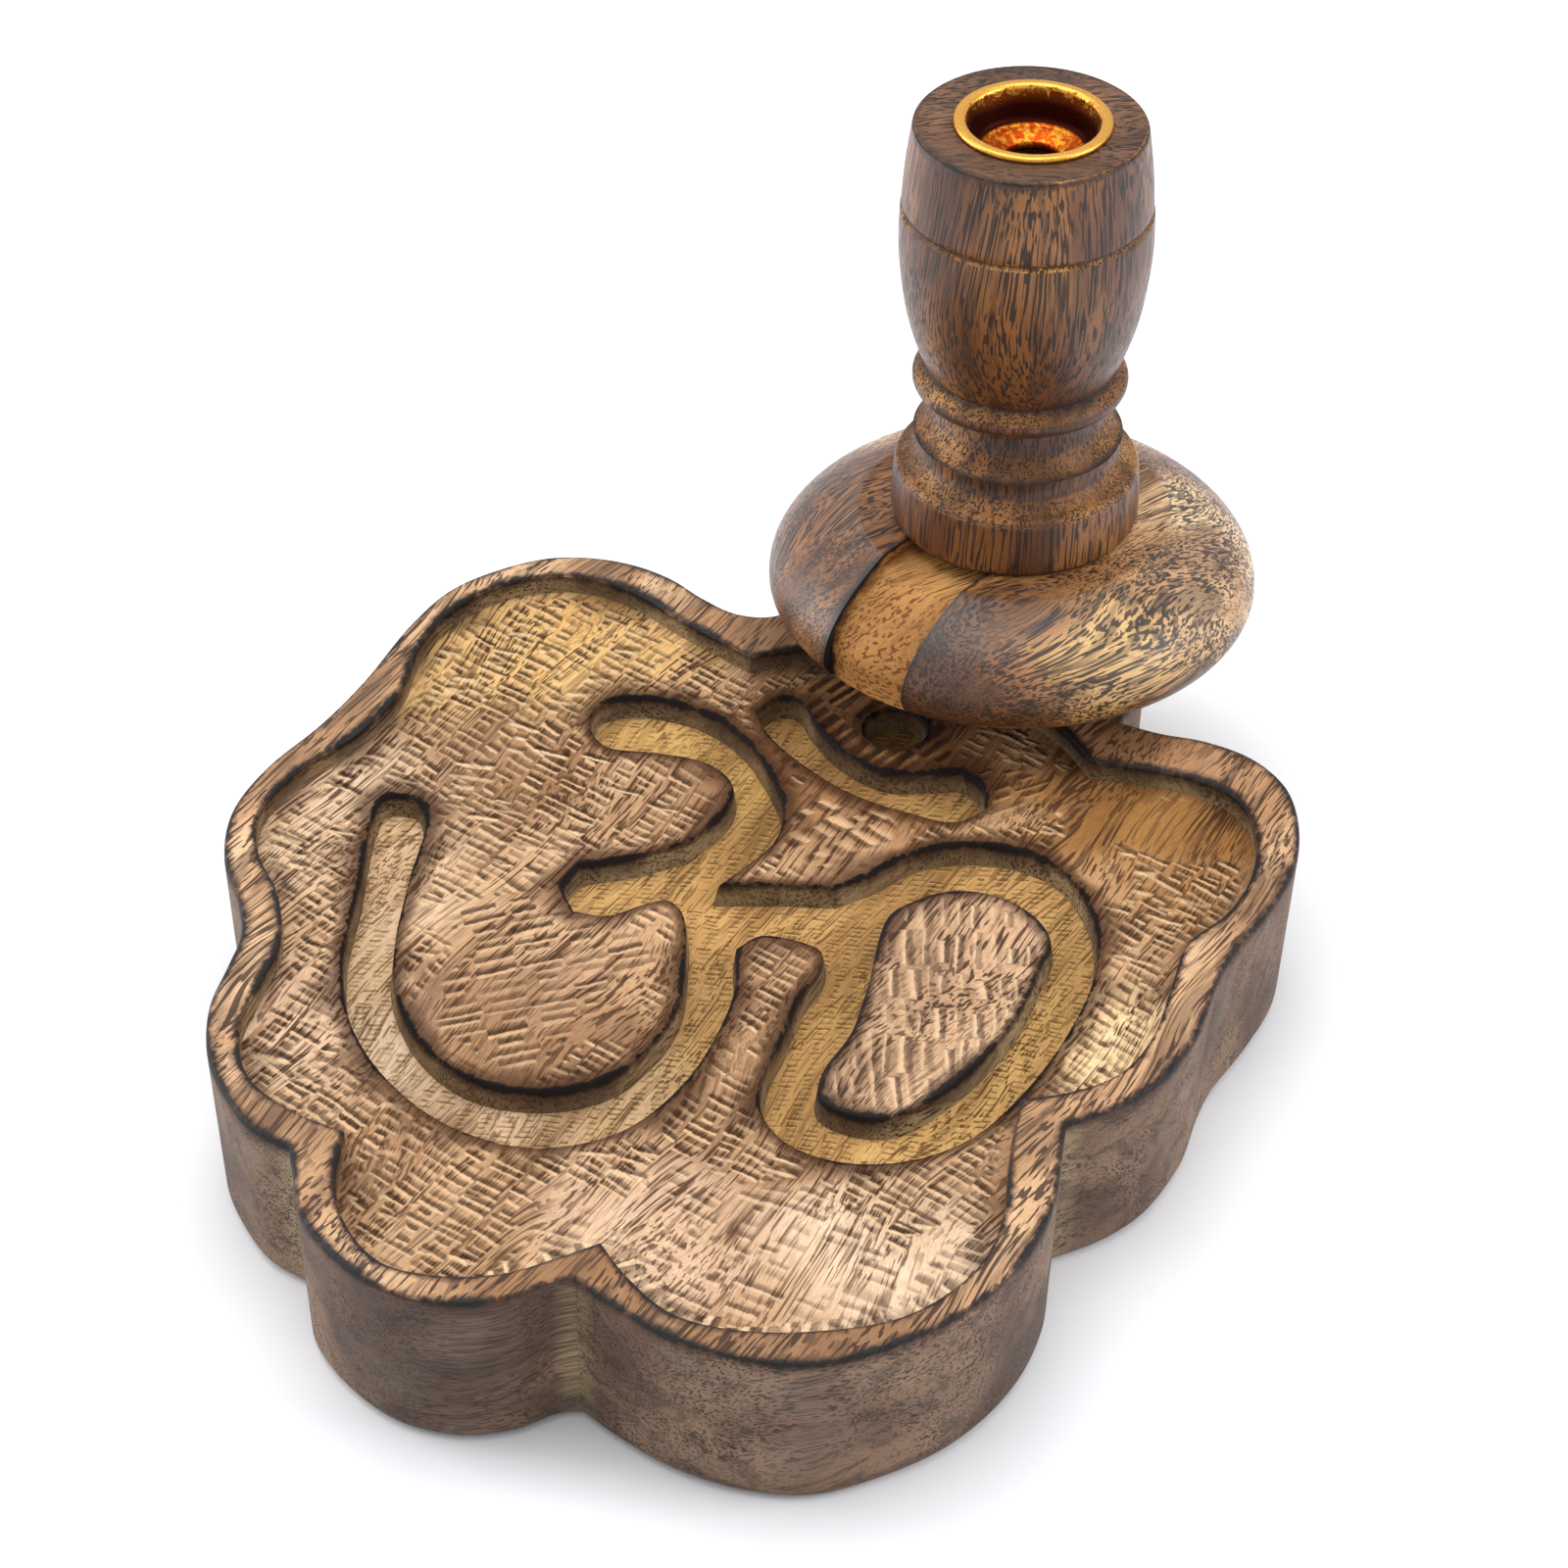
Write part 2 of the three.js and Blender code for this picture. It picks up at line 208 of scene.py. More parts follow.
FIELD_EDGE = Outline((
    ((22.4, -22), (16.4, -17.7), (8, -14), (-3, -12.7), (-14, -14), (-22.4, -17.6), (-27.9, -22.6)),
    ((-27.9, -22.6), (-34, -21.2), (-41, -19.4), (-48, -17.2), (-55, -16.7), (-61, -19),
     (-66.4, -25), (-68.9, -33), (-68.4, -42), (-65.4, -52), (-65.5, -62), (-68.2, -74),
     (-67.6, -83.5), (-63.4, -90.2), (-56.7, -96.2), (-51.2, -104.6), (-49.2, -112.5),
     (-46.8, -120.8), (-41, -127.8), (-33, -130.7), (-25.4, -131)),
    ((-25.4, -131), (-22, -138.6), (-16.6, -144.9), (-9.4, -148.5), (-2.8, -147.4), (3.6, -143.6),
     (8.2, -137.9), (11.2, -133.5)),
    ((11.2, -133.5), (16.6, -137), (24.5, -140.1), (32, -139), (40.7, -134.5), (48.2, -127.6),
     (51.8, -117), (50.6, -107), (46.6, -97), (43.4, -87.4)),
    ((43.4, -87.4), (48.3, -83.2), (52, -77.5), (52.7, -69), (50.6, -58.5), (49.1, -50.5),
     (51, -43), (50.8, -34.5), (47.5, -25.5), (41.8, -20), (34.4, -19.2), (28, -20.6), (22.4, -22)),
))

OM_EDGE = Outline((
    ((-23.7, -78.4), (-19.4, -77), (-16.8, -73.2), (-14.4, -70.8), (-11.6, -71.9), (-6.4, -80.7),
     (-3, -89), (-2.3, -97), (-4, -104.6), (-9.6, -110.6), (-18, -112.9), (-26.5, -110.4),
     (-35, -103.4), (-40.5, -94.6), (-46, -81.6), (-50.2, -70.8), (-53.4, -67.8), (-57.2, -69.4),
     (-56.2, -74.4), (-50.4, -87.2), (-44.6, -100.4), (-37.8, -110), (-27.6, -117.6),
     (-16, -121.4), (-5.6, -120), (1.8, -113), (4.4, -103), (4, -93), (1.6, -82.4), (-2, -75.2)),
    ((-2, -75.2), (-0.6, -71.6), (3, -70.3), (7.6, -70.5), (9.2, -73.6), (9.6, -80.2),
     (11.2, -87.6), (12.4, -94.6), (15.2, -101), (20.4, -104.7), (27, -105.1), (34.2, -101.6),
     (39.6, -94.4), (41.8, -84), (41.9, -70), (39.6, -57), (34.4, -47.2), (26, -40.8),
     (16.4, -41.2), (9.4, -46.6), (6, -54), (3.6, -58.2)),
    ((3.6, -58.2), (-3.4, -61.4), (-10, -64.9)),
    ((-10, -64.9), (-8.8, -59.4), (-8, -53.6), (-10.2, -46.6), (-15.6, -40.6), (-22.4, -35.4),
     (-30, -33), (-38.4, -34.4), (-42.4, -38.2), (-41, -43.4), (-36.8, -46), (-30.4, -44),
     (-23.4, -42.9), (-18.4, -45.4), (-16.6, -51), (-17.8, -59.2)),
    ((-17.8, -59.2), (-22.6, -65.3), (-27.8, -69.9)),
    ((-27.8, -69.9), (-27.4, -74.6), (-23.7, -78.4)),
))

OM_ISLAND = Outline((
    ((12, -60.4), (13, -56.9), (16.6, -52), (22.4, -50), (28.5, -51.5), (32.4, -55), (33.6, -61),
     (35, -70), (34.8, -79), (33.2, -87.4), (29.8, -94.8), (25, -96.8), (20.6, -95.8),
     (18.6, -91.6), (18.2, -83), (16, -74)),
))

CRESCENT_EDGE = Outline((
    ((-23.2, -29.7), (-22, -25.6), (-19.1, -25), (-14.6, -28.6), (-8.4, -32.2), (-2, -33.4),
     (2.6, -31.2), (6.6, -28.6)),
    ((6.6, -28.6), (10.6, -30.2), (13.2, -34.4)),
    ((13.2, -34.4), (10.8, -38.8), (5, -39.8), (-3, -39.8), (-11, -37.6), (-19.4, -33.4),
     (-23.2, -29.7)),
))

DOT_EDGE = circle_outline(-5, -24.4, radius=4.2)


# ---- modelling by hand ----


def activate(piece: bpy.types.Object) -> None:
    """Selects one object alone and makes it the active one."""
    bpy.ops.object.select_all(action="DESELECT")
    piece.select_set(True)
    bpy.context.view_layer.objects.active = piece


@contextmanager
def editing(piece: bpy.types.Object, mode: str = "FACE") -> Iterator[None]:
    """Opens one object in edit mode, with one kind of element to select, and closes it again."""
    activate(piece)
    bpy.ops.object.mode_set(mode="EDIT")
    bpy.ops.mesh.select_mode(type=mode)
    yield
    bpy.ops.object.mode_set(mode="OBJECT")


def close_up(piece: bpy.types.Object, merge: float = 0.002) -> None:
    """Merges what meets, and turns every face outward."""
    with editing(piece, "VERT"):
        bpy.ops.mesh.select_all(action="SELECT")
        bpy.ops.mesh.remove_doubles(threshold=merge * MM)
        bpy.ops.mesh.normals_make_consistent(inside=False)


def vertex_places(piece: bpy.types.Object) -> np.ndarray:
    """Every vertex's place, (n, 3), in millimetres."""
    places = np.empty(len(piece.data.vertices) * 3)
    piece.data.vertices.foreach_get("co", places)
    return places.reshape(-1, 3) / MM


def place_vertices(piece: bpy.types.Object, places: np.ndarray) -> None:
    """Moves every vertex to its row of places, in millimetres."""
    piece.data.vertices.foreach_set("co", (places * MM).ravel())
    piece.data.update()


def selected_vertices(piece: bpy.types.Object) -> np.ndarray:
    """Whether each vertex is selected."""
    flags = np.empty(len(piece.data.vertices), bool)
    piece.data.vertices.foreach_get("select", flags)
    return flags


@dataclass(frozen=True)
class Level:
    """One ring of a prism's wall: its height, and how far its outline is moved inward."""

    height: float
    inset: float = 0.0


def level_rows(base: float, rows: Sequence[Point], side: int = 1) -> list[Level]:
    """Levels from rows of rise above a base and inset; a side of -1 moves them outward."""
    return [Level(base + rise, side * inset) for rise, inset in rows]


@dataclass(frozen=True)
class Lean:
    """Draws a board's rings in towards its middle below its top."""

    middle: Point
    base_share: float
    top: float

    def apply(self, ring: np.ndarray, height: float) -> np.ndarray:
        """The ring as the leaning wall has it at a height."""
        share = self.base_share + (1 - self.base_share) * min(height / self.top, 1.0)
        middle = np.array(self.middle) + AXIS
        return middle + (ring - middle) * share


def prism(name: str, outline: Outline, levels: Sequence[Level], lean: Lean | None = None):
    """A solid with an outline's plan, extruded ring by ring.

    Args:
        name: The object's name.
        outline: Its plan.
        levels: Its rings, from the lowest up.
        lean: How its walls lean, if they do.

    Returns:
        The new object.
    """
    rings = [outline.inset(level.inset) for level in levels]
    if lean:
        rings = [lean.apply(ring, level.height) for ring, level in zip(rings, levels)]
    bpy.ops.object.select_all(action="DESELECT")
    bpy.ops.mesh.primitive_circle_add(vertices=len(rings[0]), fill_type="NGON", radius=START_RADIUS * MM)
    piece = bpy.context.object
    piece.name = name
    place_vertices(piece, np.column_stack([rings[0], np.full(len(rings[0]), levels[0].height)]))
    with editing(piece):
        bpy.ops.mesh.select_all(action="SELECT")
    for lower, upper, below, above in zip(rings, rings[1:], levels, levels[1:]):
        rise = (above.height - below.height) * MM
        with editing(piece):
            bpy.ops.mesh.extrude_region_move(TRANSFORM_OT_translate={"value": (0, 0, rise)})
        places = vertex_places(piece)
        chosen = np.flatnonzero(selected_vertices(piece))
        gaps = np.linalg.norm(places[chosen, None, :2] - lower[None], axis=2)
        places[chosen, :2] = upper[gaps.argmin(axis=1)]
        place_vertices(piece, places)
    close_up(piece)
    return piece


def fine_slab(name: str, outline: Outline, top: float, bottom: float, spacing: float):
    """A slab over an outline's extent whose flat sides are a fine grid.

    Args:
        name: The object's name.
        outline: What it has to cover.
        top: Height of the side that the grid is laid on first.
        bottom: Height of its other side.
        spacing: The grid's spacing, in millimetres.

    Returns:
        The new object.
    """
    loop = outline.points()
    low, high = loop.min(axis=0) - SLAB_MARGIN, loop.max(axis=0) + SLAB_MARGIN
    size, middle = high - low, (high + low) / 2
    counts = [int(round(side / spacing)) for side in size]
    bpy.ops.object.select_all(action="DESELECT")
    bpy.ops.mesh.primitive_grid_add(x_subdivisions=counts[0], y_subdivisions=counts[1], size=MM)
    piece = bpy.context.object
    piece.name = name
    with editing(piece):
        bpy.ops.mesh.select_all(action="SELECT")
        bpy.ops.transform.resize(value=(size[0], size[1], 1))
        bpy.ops.transform.translate(value=(middle[0] * MM, middle[1] * MM, top * MM))
        bpy.ops.mesh.extrude_region_move(TRANSFORM_OT_translate={"value": (0, 0, (bottom - top) * MM)})
        bpy.ops.mesh.select_all(action="SELECT")
        bpy.ops.mesh.normals_make_consistent(inside=False)
    return piece


def roughen(piece: bpy.types.Object, height: float, swings: Sequence[tuple[float, float]]) -> None:
    """Moves a fine flat side up and down by hand-sized waves.

    Args:
        piece: The slab.
        height: Height of the side to move, in millimetres.
        swings: Each wave's length and half height, in millimetres.
    """
    places = vertex_places(piece)
    for i in np.flatnonzero(np.abs(places[:, 2] - height) < SAME_HEIGHT):
        x, y = places[i, :2]
        places[i, 2] += sum(
            half * noise_vector(Vector((x / length, y / length, length))).x for length, half in swings
        )
    place_vertices(piece, places)


def turned(name: str, section: np.ndarray, steps: int, offset: Point = (0.0, 0.0)):
    """A turned solid: a half section spun about the stem's axis.

    Args:
        name: The object's name.
        section: Radius and height of each point in turn, (n, 2). It closes on itself, or starts and
            ends at radius nought.
        steps: Steps round the turn.
        offset: Plan place of its axis from the stem's.

    Returns:
        The new object.
    """
    x, y = AXIS + np.array(offset)
    bpy.ops.object.select_all(action="DESELECT")
    bpy.ops.mesh.primitive_circle_add(
        vertices=len(section), fill_type="NOTHING", radius=section[:, 0].max() * MM
    )
    piece = bpy.context.object
    piece.name = name
    rows = np.column_stack([x + section[:, 0], np.full(len(section), y), section[:, 1]])
    place_vertices(piece, rows)
    on_axis = section[:, 0] < SAME_HEIGHT
    with editing(piece, "EDGE"):
        bpy.ops.mesh.select_all(action="DESELECT")
    for edge in piece.data.edges:
        edge.select = bool(on_axis[edge.vertices[0]] and on_axis[edge.vertices[1]])
    if on_axis.any():
        with editing(piece, "EDGE"):
            bpy.ops.mesh.delete(type="EDGE")
    with editing(piece, "VERT"):
        bpy.ops.mesh.select_all(action="SELECT")
        bpy.ops.mesh.spin(
            steps=steps, angle=FULL_TURN, center=(x * MM, y * MM, 0), axis=(0, 0, 1), use_auto_merge=True
        )
    close_up(piece)
    return piece


class Cut(Enum):
    """What a tool does to a piece."""

    TAKE_AWAY = "DIFFERENCE"
    KEEP_COMMON = "INTERSECT"


def carve(piece: bpy.types.Object, tool: bpy.types.Object, cut: Cut = Cut.TAKE_AWAY) -> None:
    """Cuts a piece with a tool, and throws the tool away."""
    activate(piece)
    modifier = piece.modifiers.new(tool.name, "BOOLEAN")
    modifier.operation = cut.value
    modifier.solver = "MANIFOLD"
    modifier.object = tool
    bpy.ops.object.modifier_apply(modifier=modifier.name)
    bpy.data.objects.remove(tool, do_unlink=True)


def soften_shading(piece: bpy.types.Object, degrees: float = 32) -> None:
    """Shades a piece smooth, except at edges sharper than an angle."""
    activate(piece)
    bpy.ops.object.shade_smooth_by_angle(angle=math.radians(degrees), keep_sharp_edges=False)


def nearest(trails: Sequence[tuple[np.ndarray, np.ndarray]], places: np.ndarray):
    """Distance from each place to the nearest of some trails, and how far along its trail that is.

    Args:
        trails: Points and their distances along, as Outline.trail gives them.
        places: The places to measure from, (n, 3), in millimetres.

    Returns:
        Two rows of millimetres, one value for each place.
    """
    points = np.concatenate([points for points, _ in trails])
    along = np.concatenate([along for _, along in trails])
    tree = KDTree(len(points))
    for index, point in enumerate(points):
        tree.insert(point, index)
    tree.balance()
    found = [tree.find(place) for place in places]
    return np.array([f[2] for f in found]), along[[f[1] for f in found]]


def write_values(piece: bpy.types.Object, name: str, values: np.ndarray) -> None:
    """Keeps one number for each vertex on a piece, for its materials to read."""
    attribute = piece.data.attributes.new(name, "FLOAT", "POINT")
    attribute.data.foreach_set("value", values.astype(np.float32))


def face_facts(piece: bpy.types.Object) -> tuple[np.ndarray, np.ndarray]:
    """Every face's middle in millimetres, and its normal, each (n, 3)."""
    count = len(piece.data.polygons)
    middles, normals = np.empty(count * 3), np.empty(count * 3)
    piece.data.polygons.foreach_get("center", middles)
    piece.data.polygons.foreach_get("normal", normals)
    return middles.reshape(-1, 3) / MM, normals.reshape(-1, 3)


def dress(piece: bpy.types.Object, materials: Sequence[bpy.types.Material], choice: np.ndarray) -> None:
    """Gives a piece its materials, and each face the one that choice numbers."""
    piece.data.materials.clear()
    for material in materials:
        piece.data.materials.append(material)
    piece.data.polygons.foreach_set("material_index", choice.astype(np.int32))


def settle(piece: bpy.types.Object, node: str, body: str) -> None:
    """Makes a finished piece stand for its CAD node, on its body, and logs its triangle count."""
    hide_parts(node)
    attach(piece, body)
    triangles = sum(len(face.vertices) - 2 for face in piece.data.polygons)
    log.info("%s: %d triangles", piece.name, triangles)


# ---- node graphs ----


Value = bpy.types.NodeSocket | float | tuple
Triple = tuple[float, float, float]

BLACK = (0.0, 0.0, 0.0, 1.0)
NOWHERE = (0.0, 0.0, 0.0)


@dataclass(frozen=True)
class Layer:
    """One layer of noise: changes per millimetre, overall or along each axis, and its richness."""

    pace: float | Triple
    detail: float = 2.0
    start: float = 0.0
    distortion: float = 0.0


class Graph:
    """Builds a node tree with one call for each node."""

    def __init__(self, tree: bpy.types.NodeTree) -> None:
        """Works on a tree that is already there."""
        self.tree = tree

    def feed(self, socket: bpy.types.NodeSocket, value: Value) -> None:
        """Links a socket into another, or sets its value."""
        if isinstance(value, bpy.types.NodeSocket):
            self.tree.links.new(value, socket)
        else:
            socket.default_value = value

    def math(self, operation: str, first: Value, second: Value = 0.0, third: Value = 0.0):
        """One arithmetic node's result."""
        node = self.tree.nodes.new("ShaderNodeMath")
        node.operation = operation
        for socket, value in zip(node.inputs, (first, second, third)):
            self.feed(socket, value)
        return node.outputs[0]

    def product(self, *values: Value):
        """All the values multiplied together."""
        result = values[0]
        for value in values[1:]:
            result = self.math("MULTIPLY", result, value)
        return result

    def vector(self, operation: str, first: Value, second: Value = NOWHERE, output: str = "Vector"):
        """One vector arithmetic node's result."""
        node = self.tree.nodes.new("ShaderNodeVectorMath")
        node.operation = operation
        self.feed(node.inputs[0], first)
        if operation == "SCALE":
            self.feed(node.inputs["Scale"], second)
        else:
            self.feed(node.inputs[1], second)
        return node.outputs[output]

    def step(self, value: Value, low: Value, high: Value):
        """Nought below low and one above high, with a smooth change between them."""
        node = self.tree.nodes.new("ShaderNodeMapRange")
        node.interpolation_type = "SMOOTHSTEP"
        self.feed(node.inputs["Value"], value)
        self.feed(node.inputs["From Min"], low)
        self.feed(node.inputs["From Max"], high)
        return node.outputs["Result"]

    def less(self, value: Value, low: Value, high: Value):
        """One below low and nought above high, with a smooth change between them."""
        return self.math("SUBTRACT", 1.0, self.step(value, low, high))

    def mix(self, share: Value, first: Value, second: Value, blend: str = "MIX"):
        """Two colours mixed."""
        node = self.tree.nodes.new("ShaderNodeMix")
        node.data_type = "RGBA"
        node.blend_type = blend
        inputs = {socket.identifier: socket for socket in node.inputs}
        self.feed(inputs["Factor_Float"], share)
        self.feed(inputs["A_Color"], first)
        self.feed(inputs["B_Color"], second)
        return next(s for s in node.outputs if s.identifier == "Result_Color")

    def noise(self, place: Value, detail: float = 2.0, distortion: float = 0.0, output: str = "Fac"):
        """Three-dimensional noise at a place already scaled to it."""
        node = self.tree.nodes.new("ShaderNodeTexNoise")
        node.inputs["Scale"].default_value = 1.0
        node.inputs["Detail"].default_value = detail
        node.inputs["Distortion"].default_value = distortion
        self.feed(node.inputs["Vector"], place)
        return node.outputs[output]

    def stretched(self, place: Value, scale: tuple, shift: float = 0.0):
        """A place scaled along each axis, and shifted so that patterns differ."""
        scaled = self.vector("MULTIPLY", place, scale)
        return self.vector("ADD", scaled, (shift, shift, shift))

    def layer(self, place: Value, layer: "Layer", output: str = "Fac"):
        """A layer of noise at a place in millimetres."""
        if isinstance(layer.pace, float):
            place = self.vector("SCALE", place, layer.pace)
        else:
            place = self.stretched(place, layer.pace, layer.start)
        return self.noise(place, layer.detail, layer.distortion, output)

    def centred(self, value: Value, vector: bool = False):
        """A value or vector that runs from nought to one, moved to run about nought."""
        if vector:
            return self.vector("SUBTRACT", value, (0.5, 0.5, 0.5))
        return self.math("SUBTRACT", value, 0.5)

    def line(self, value: Value, line: Point):
        """A value times a line's gain, and its rest added."""
        return self.math("MULTIPLY_ADD", value, *line)

    def random(self, place: Value, output: str = "Value"):
        """A random value for each whole place."""
        node = self.tree.nodes.new("ShaderNodeTexWhiteNoise")
        node.noise_dimensions = "3D"
        self.feed(node.inputs["Vector"], place)
        return node.outputs[output]

    def split(self, place: Value) -> list:
        """A vector's three numbers."""
        node = self.tree.nodes.new("ShaderNodeSeparateXYZ")
        self.feed(node.inputs[0], place)
        return list(node.outputs)

    def join(self, x: Value, y: Value, z: Value = 0.0):
        """Three numbers as a vector."""
        node = self.tree.nodes.new("ShaderNodeCombineXYZ")
        for socket, value in zip(node.inputs, (x, y, z)):
            self.feed(socket, value)
        return node.outputs[0]

    def kept(self, name: str, output: str = "Fac"):
        """A number or colour that the mesh keeps for each vertex."""
        node = self.tree.nodes.new("ShaderNodeAttribute")
        node.attribute_name = name
        return node.outputs[output]

    def use(self, group: bpy.types.NodeTree, **values: Value):
        """A node group's outputs, with its inputs fed by name, underscores standing for spaces."""
        node = self.tree.nodes.new("ShaderNodeGroup")
        node.node_tree = group
        for name, value in values.items():
            self.feed(node.inputs[name.replace("_", " ")], value)
        return node.outputs


class Group(Graph):
    """A node group whose inputs and outputs are named when it is made."""

    def __init__(self, name: str, inputs: dict[str, Value], outputs: dict[str, Value]) -> None:
        """Makes the group, each socket's kind told by its example value."""
        super().__init__(bpy.data.node_groups.new(name, "ShaderNodeTree"))
        kinds = {float: "NodeSocketFloat", 3: "NodeSocketVector", 4: "NodeSocketColor"}
        for way, sockets in (("INPUT", inputs), ("OUTPUT", outputs)):
            for label, value in sockets.items():
                kind = kinds[float] if isinstance(value, float) else kinds[len(value)]
                socket = self.tree.interface.new_socket(label, in_out=way, socket_type=kind)
                socket.default_value = value
        self.given = self.tree.nodes.new("NodeGroupInput").outputs
        self.result = self.tree.nodes.new("NodeGroupOutput").inputs

    def give(self, label: str, value: Value) -> None:
        """Puts out one result."""
        self.feed(self.result[label], value)


def colour(code: str) -> tuple[float, float, float, float]:
    """A colour written as six hexadecimal digits, as linear light by the sRGB curve."""
    brightest, foot, slope, lift, power = 255, 0.04045, 12.92, 0.055, 2.4
    parts = [int(code[i : i + 2], 16) / brightest for i in (0, 2, 4)]
    linear = [p / slope if p <= foot else ((p + lift) / (1 + lift)) ** power for p in parts]
    return (*linear, 1.0)


# ---- shader groups ----
#
# In each recipe a pair such as (0.42, 0.7) is where a mask starts and where it is full, and a pair
# whose name ends in _line is the gain and the rest of a straight line.


@dataclass(frozen=True)
class GrainRecipe:
    """Solid timber's layers, where each shows and how strongly; the last pace is along the grain."""

    drift: Layer = Layer((0.05, 0.05, 0.022), 1.0, 3.1)
    drift_reach: Triple = (14.0, 14.0, 4.0)
    broad: Layer = Layer((0.07, 0.07, 0.02))
    bands: Layer = Layer((0.42, 0.42, 0.018), 2.0, 7.7, 0.6)
    crowd: Layer = Layer((0.17, 0.17, 0.03), 2.0, 31.9)
    streaks: Layer = Layer((0.95, 0.95, 0.05), 2.0, 19.3)
    pores: Layer = Layer((2.3, 2.3, 0.07), 0.6, 43.1)
    fibres: Layer = Layer((6.5, 6.5, 0.4), 2.0, 57.7)
    crowded: Point = (0.34, 0.52)
    streak_line: Point = (-0.1, 0.63)
    streak_edge: float = 0.06
    pore_line: Point = (-0.09, 0.645)
    pore_edge: float = 0.035
    pale: Point = (0.42, 0.7)
    dusk: Point = (0.3, 0.52)
    dusk_share: float = 0.55
    banded: Point = (0.5, 0.66)
    band_share: float = 0.5
    uneven_line: Point = (1.2, 0.15)
    spread_line: Point = (0.55, 0.45)
    figured_line: Point = (1.1, 0.4)
    deepest_pore: float = 0.9
    pore_dark: float = 0.25
    light_line: Point = (1.1, 0.45)
    fibre_height: float = 0.35
    pore_height: float = -0.7
    streak_height: float = -0.25
    fibre_roughness: float = 0.2
    pore_roughness: float = 0.2


def wood_grain(recipe: GrainRecipe = GrainRecipe()) -> bpy.types.NodeTree:
    """Solid timber: broad figure, growth bands, dark streaks, open pores and fibre, along Z."""
    group = Group(
        "wood_grain",
        {"Vector": NOWHERE, "Base": BLACK, "Pale": BLACK, "Dark": BLACK, "Figure": 1.0, "Streaks": 1.0,
         "Pores": 1.0, "Swirl": 1.0, "Fineness": 1.0},
        {"Color": BLACK, "Height": 0.0, "Roughness": 0.0},
    )
    given = group.given
    drift = group.centred(group.layer(given["Vector"], recipe.drift, "Color"), vector=True)
    drift = group.vector("MULTIPLY", drift, recipe.drift_reach)
    drift = group.vector("SCALE", drift, given["Swirl"])
    place = group.vector("ADD", given["Vector"], drift)
    fine = group.vector("SCALE", place, given["Fineness"])

    broad = group.layer(place, recipe.broad)
    bands = group.layer(place, recipe.bands)
    crowd = group.step(group.layer(place, recipe.crowd), *recipe.crowded)
    bar = group.line(given["Streaks"], recipe.streak_line)
    streaks = group.layer(fine, recipe.streaks)
    streaks = group.step(streaks, bar, group.math("ADD", bar, recipe.streak_edge))
    bar = group.line(given["Pores"], recipe.pore_line)
    pores = group.layer(fine, recipe.pores)
    pores = group.step(pores, bar, group.math("ADD", bar, recipe.pore_edge))
    fibres = group.layer(fine, recipe.fibres)

    figure, dark = given["Figure"], given["Dark"]
    pale = group.product(group.step(broad, *recipe.pale), figure)
    tone = group.mix(pale, given["Base"], given["Pale"])
    dusk = group.product(group.less(broad, *recipe.dusk), figure, recipe.dusk_share)
    tone = group.mix(dusk, tone, dark)
    banded = group.product(group.step(bands, *recipe.banded), figure, recipe.band_share)
    tone = group.mix(banded, tone, dark)
    uneven = group.line(bands, recipe.uneven_line)
    lines = group.product(streaks, crowd, uneven, given["Streaks"])
    tone = group.mix(lines, tone, dark)
    spread = group.line(crowd, recipe.spread_line)
    spread = group.product(spread, group.line(broad, recipe.figured_line))
    holes = group.math("MINIMUM", group.product(pores, spread, given["Pores"]), recipe.deepest_pore)
    deep = group.mix(recipe.pore_dark, dark, BLACK)
    tone = group.mix(holes, tone, deep)
    light = group.line(fibres, recipe.light_line)
    group.give("Color", group.vector("SCALE", tone, light))
    sunk = group.product(holes, recipe.pore_height)
    height = group.math("MULTIPLY_ADD", fibres, recipe.fibre_height, sunk)
    group.give("Height", group.math("MULTIPLY_ADD", lines, recipe.streak_height, height))
    rough = group.product(holes, recipe.pore_roughness)
    group.give("Roughness", group.math("MULTIPLY_ADD", fibres, recipe.fibre_roughness, rough))
    return group.tree


@dataclass(frozen=True)
class StabRecipe:
    """How chisel stabs stray from their rows, what one looks like, and where they are left out.

    Shares are of the stab's width where they shape it, and of the pitch or the column where they
    move it.
    """

    sway: Layer = Layer((0.045, 0.03, 0.0), 1.0, 5.3)
    ragged: Layer = Layer(1.3)
    ragged_reach: float = 0.55
    column_seed: Point = (3.0, 5.0)
    lag: float = 9.0
    pace_step: float = 3.7
    pace_change: float = 0.2
    pace_seed: float = 2.0
    pace_reach: float = 1.3
    pace_tilt: float = 0.08
    stab_seed: float = 1.0
    shift: float = 0.22
    nudge: float = 0.22
    half_length_line: Point = (0.42, 0.22)
    end_fade: float = 0.35
    steep: Point = (-0.22, 0.0)
    gentle: Point = (0.25, 1.0)
    lip: Point = (-1.15, -0.7)
    lip_end: Point = (-0.45, -0.1)
    missing: Layer = Layer((0.13, 0.09, 0.0), 1.0, 11.9)
    missing_chance: float = 0.3
    missing_bar: float = 0.85
    missing_keep: float = 0.7
    missing_edge: float = 0.05
    strength_line: Point = (0.65, 0.35)
    burr_height: float = 0.35


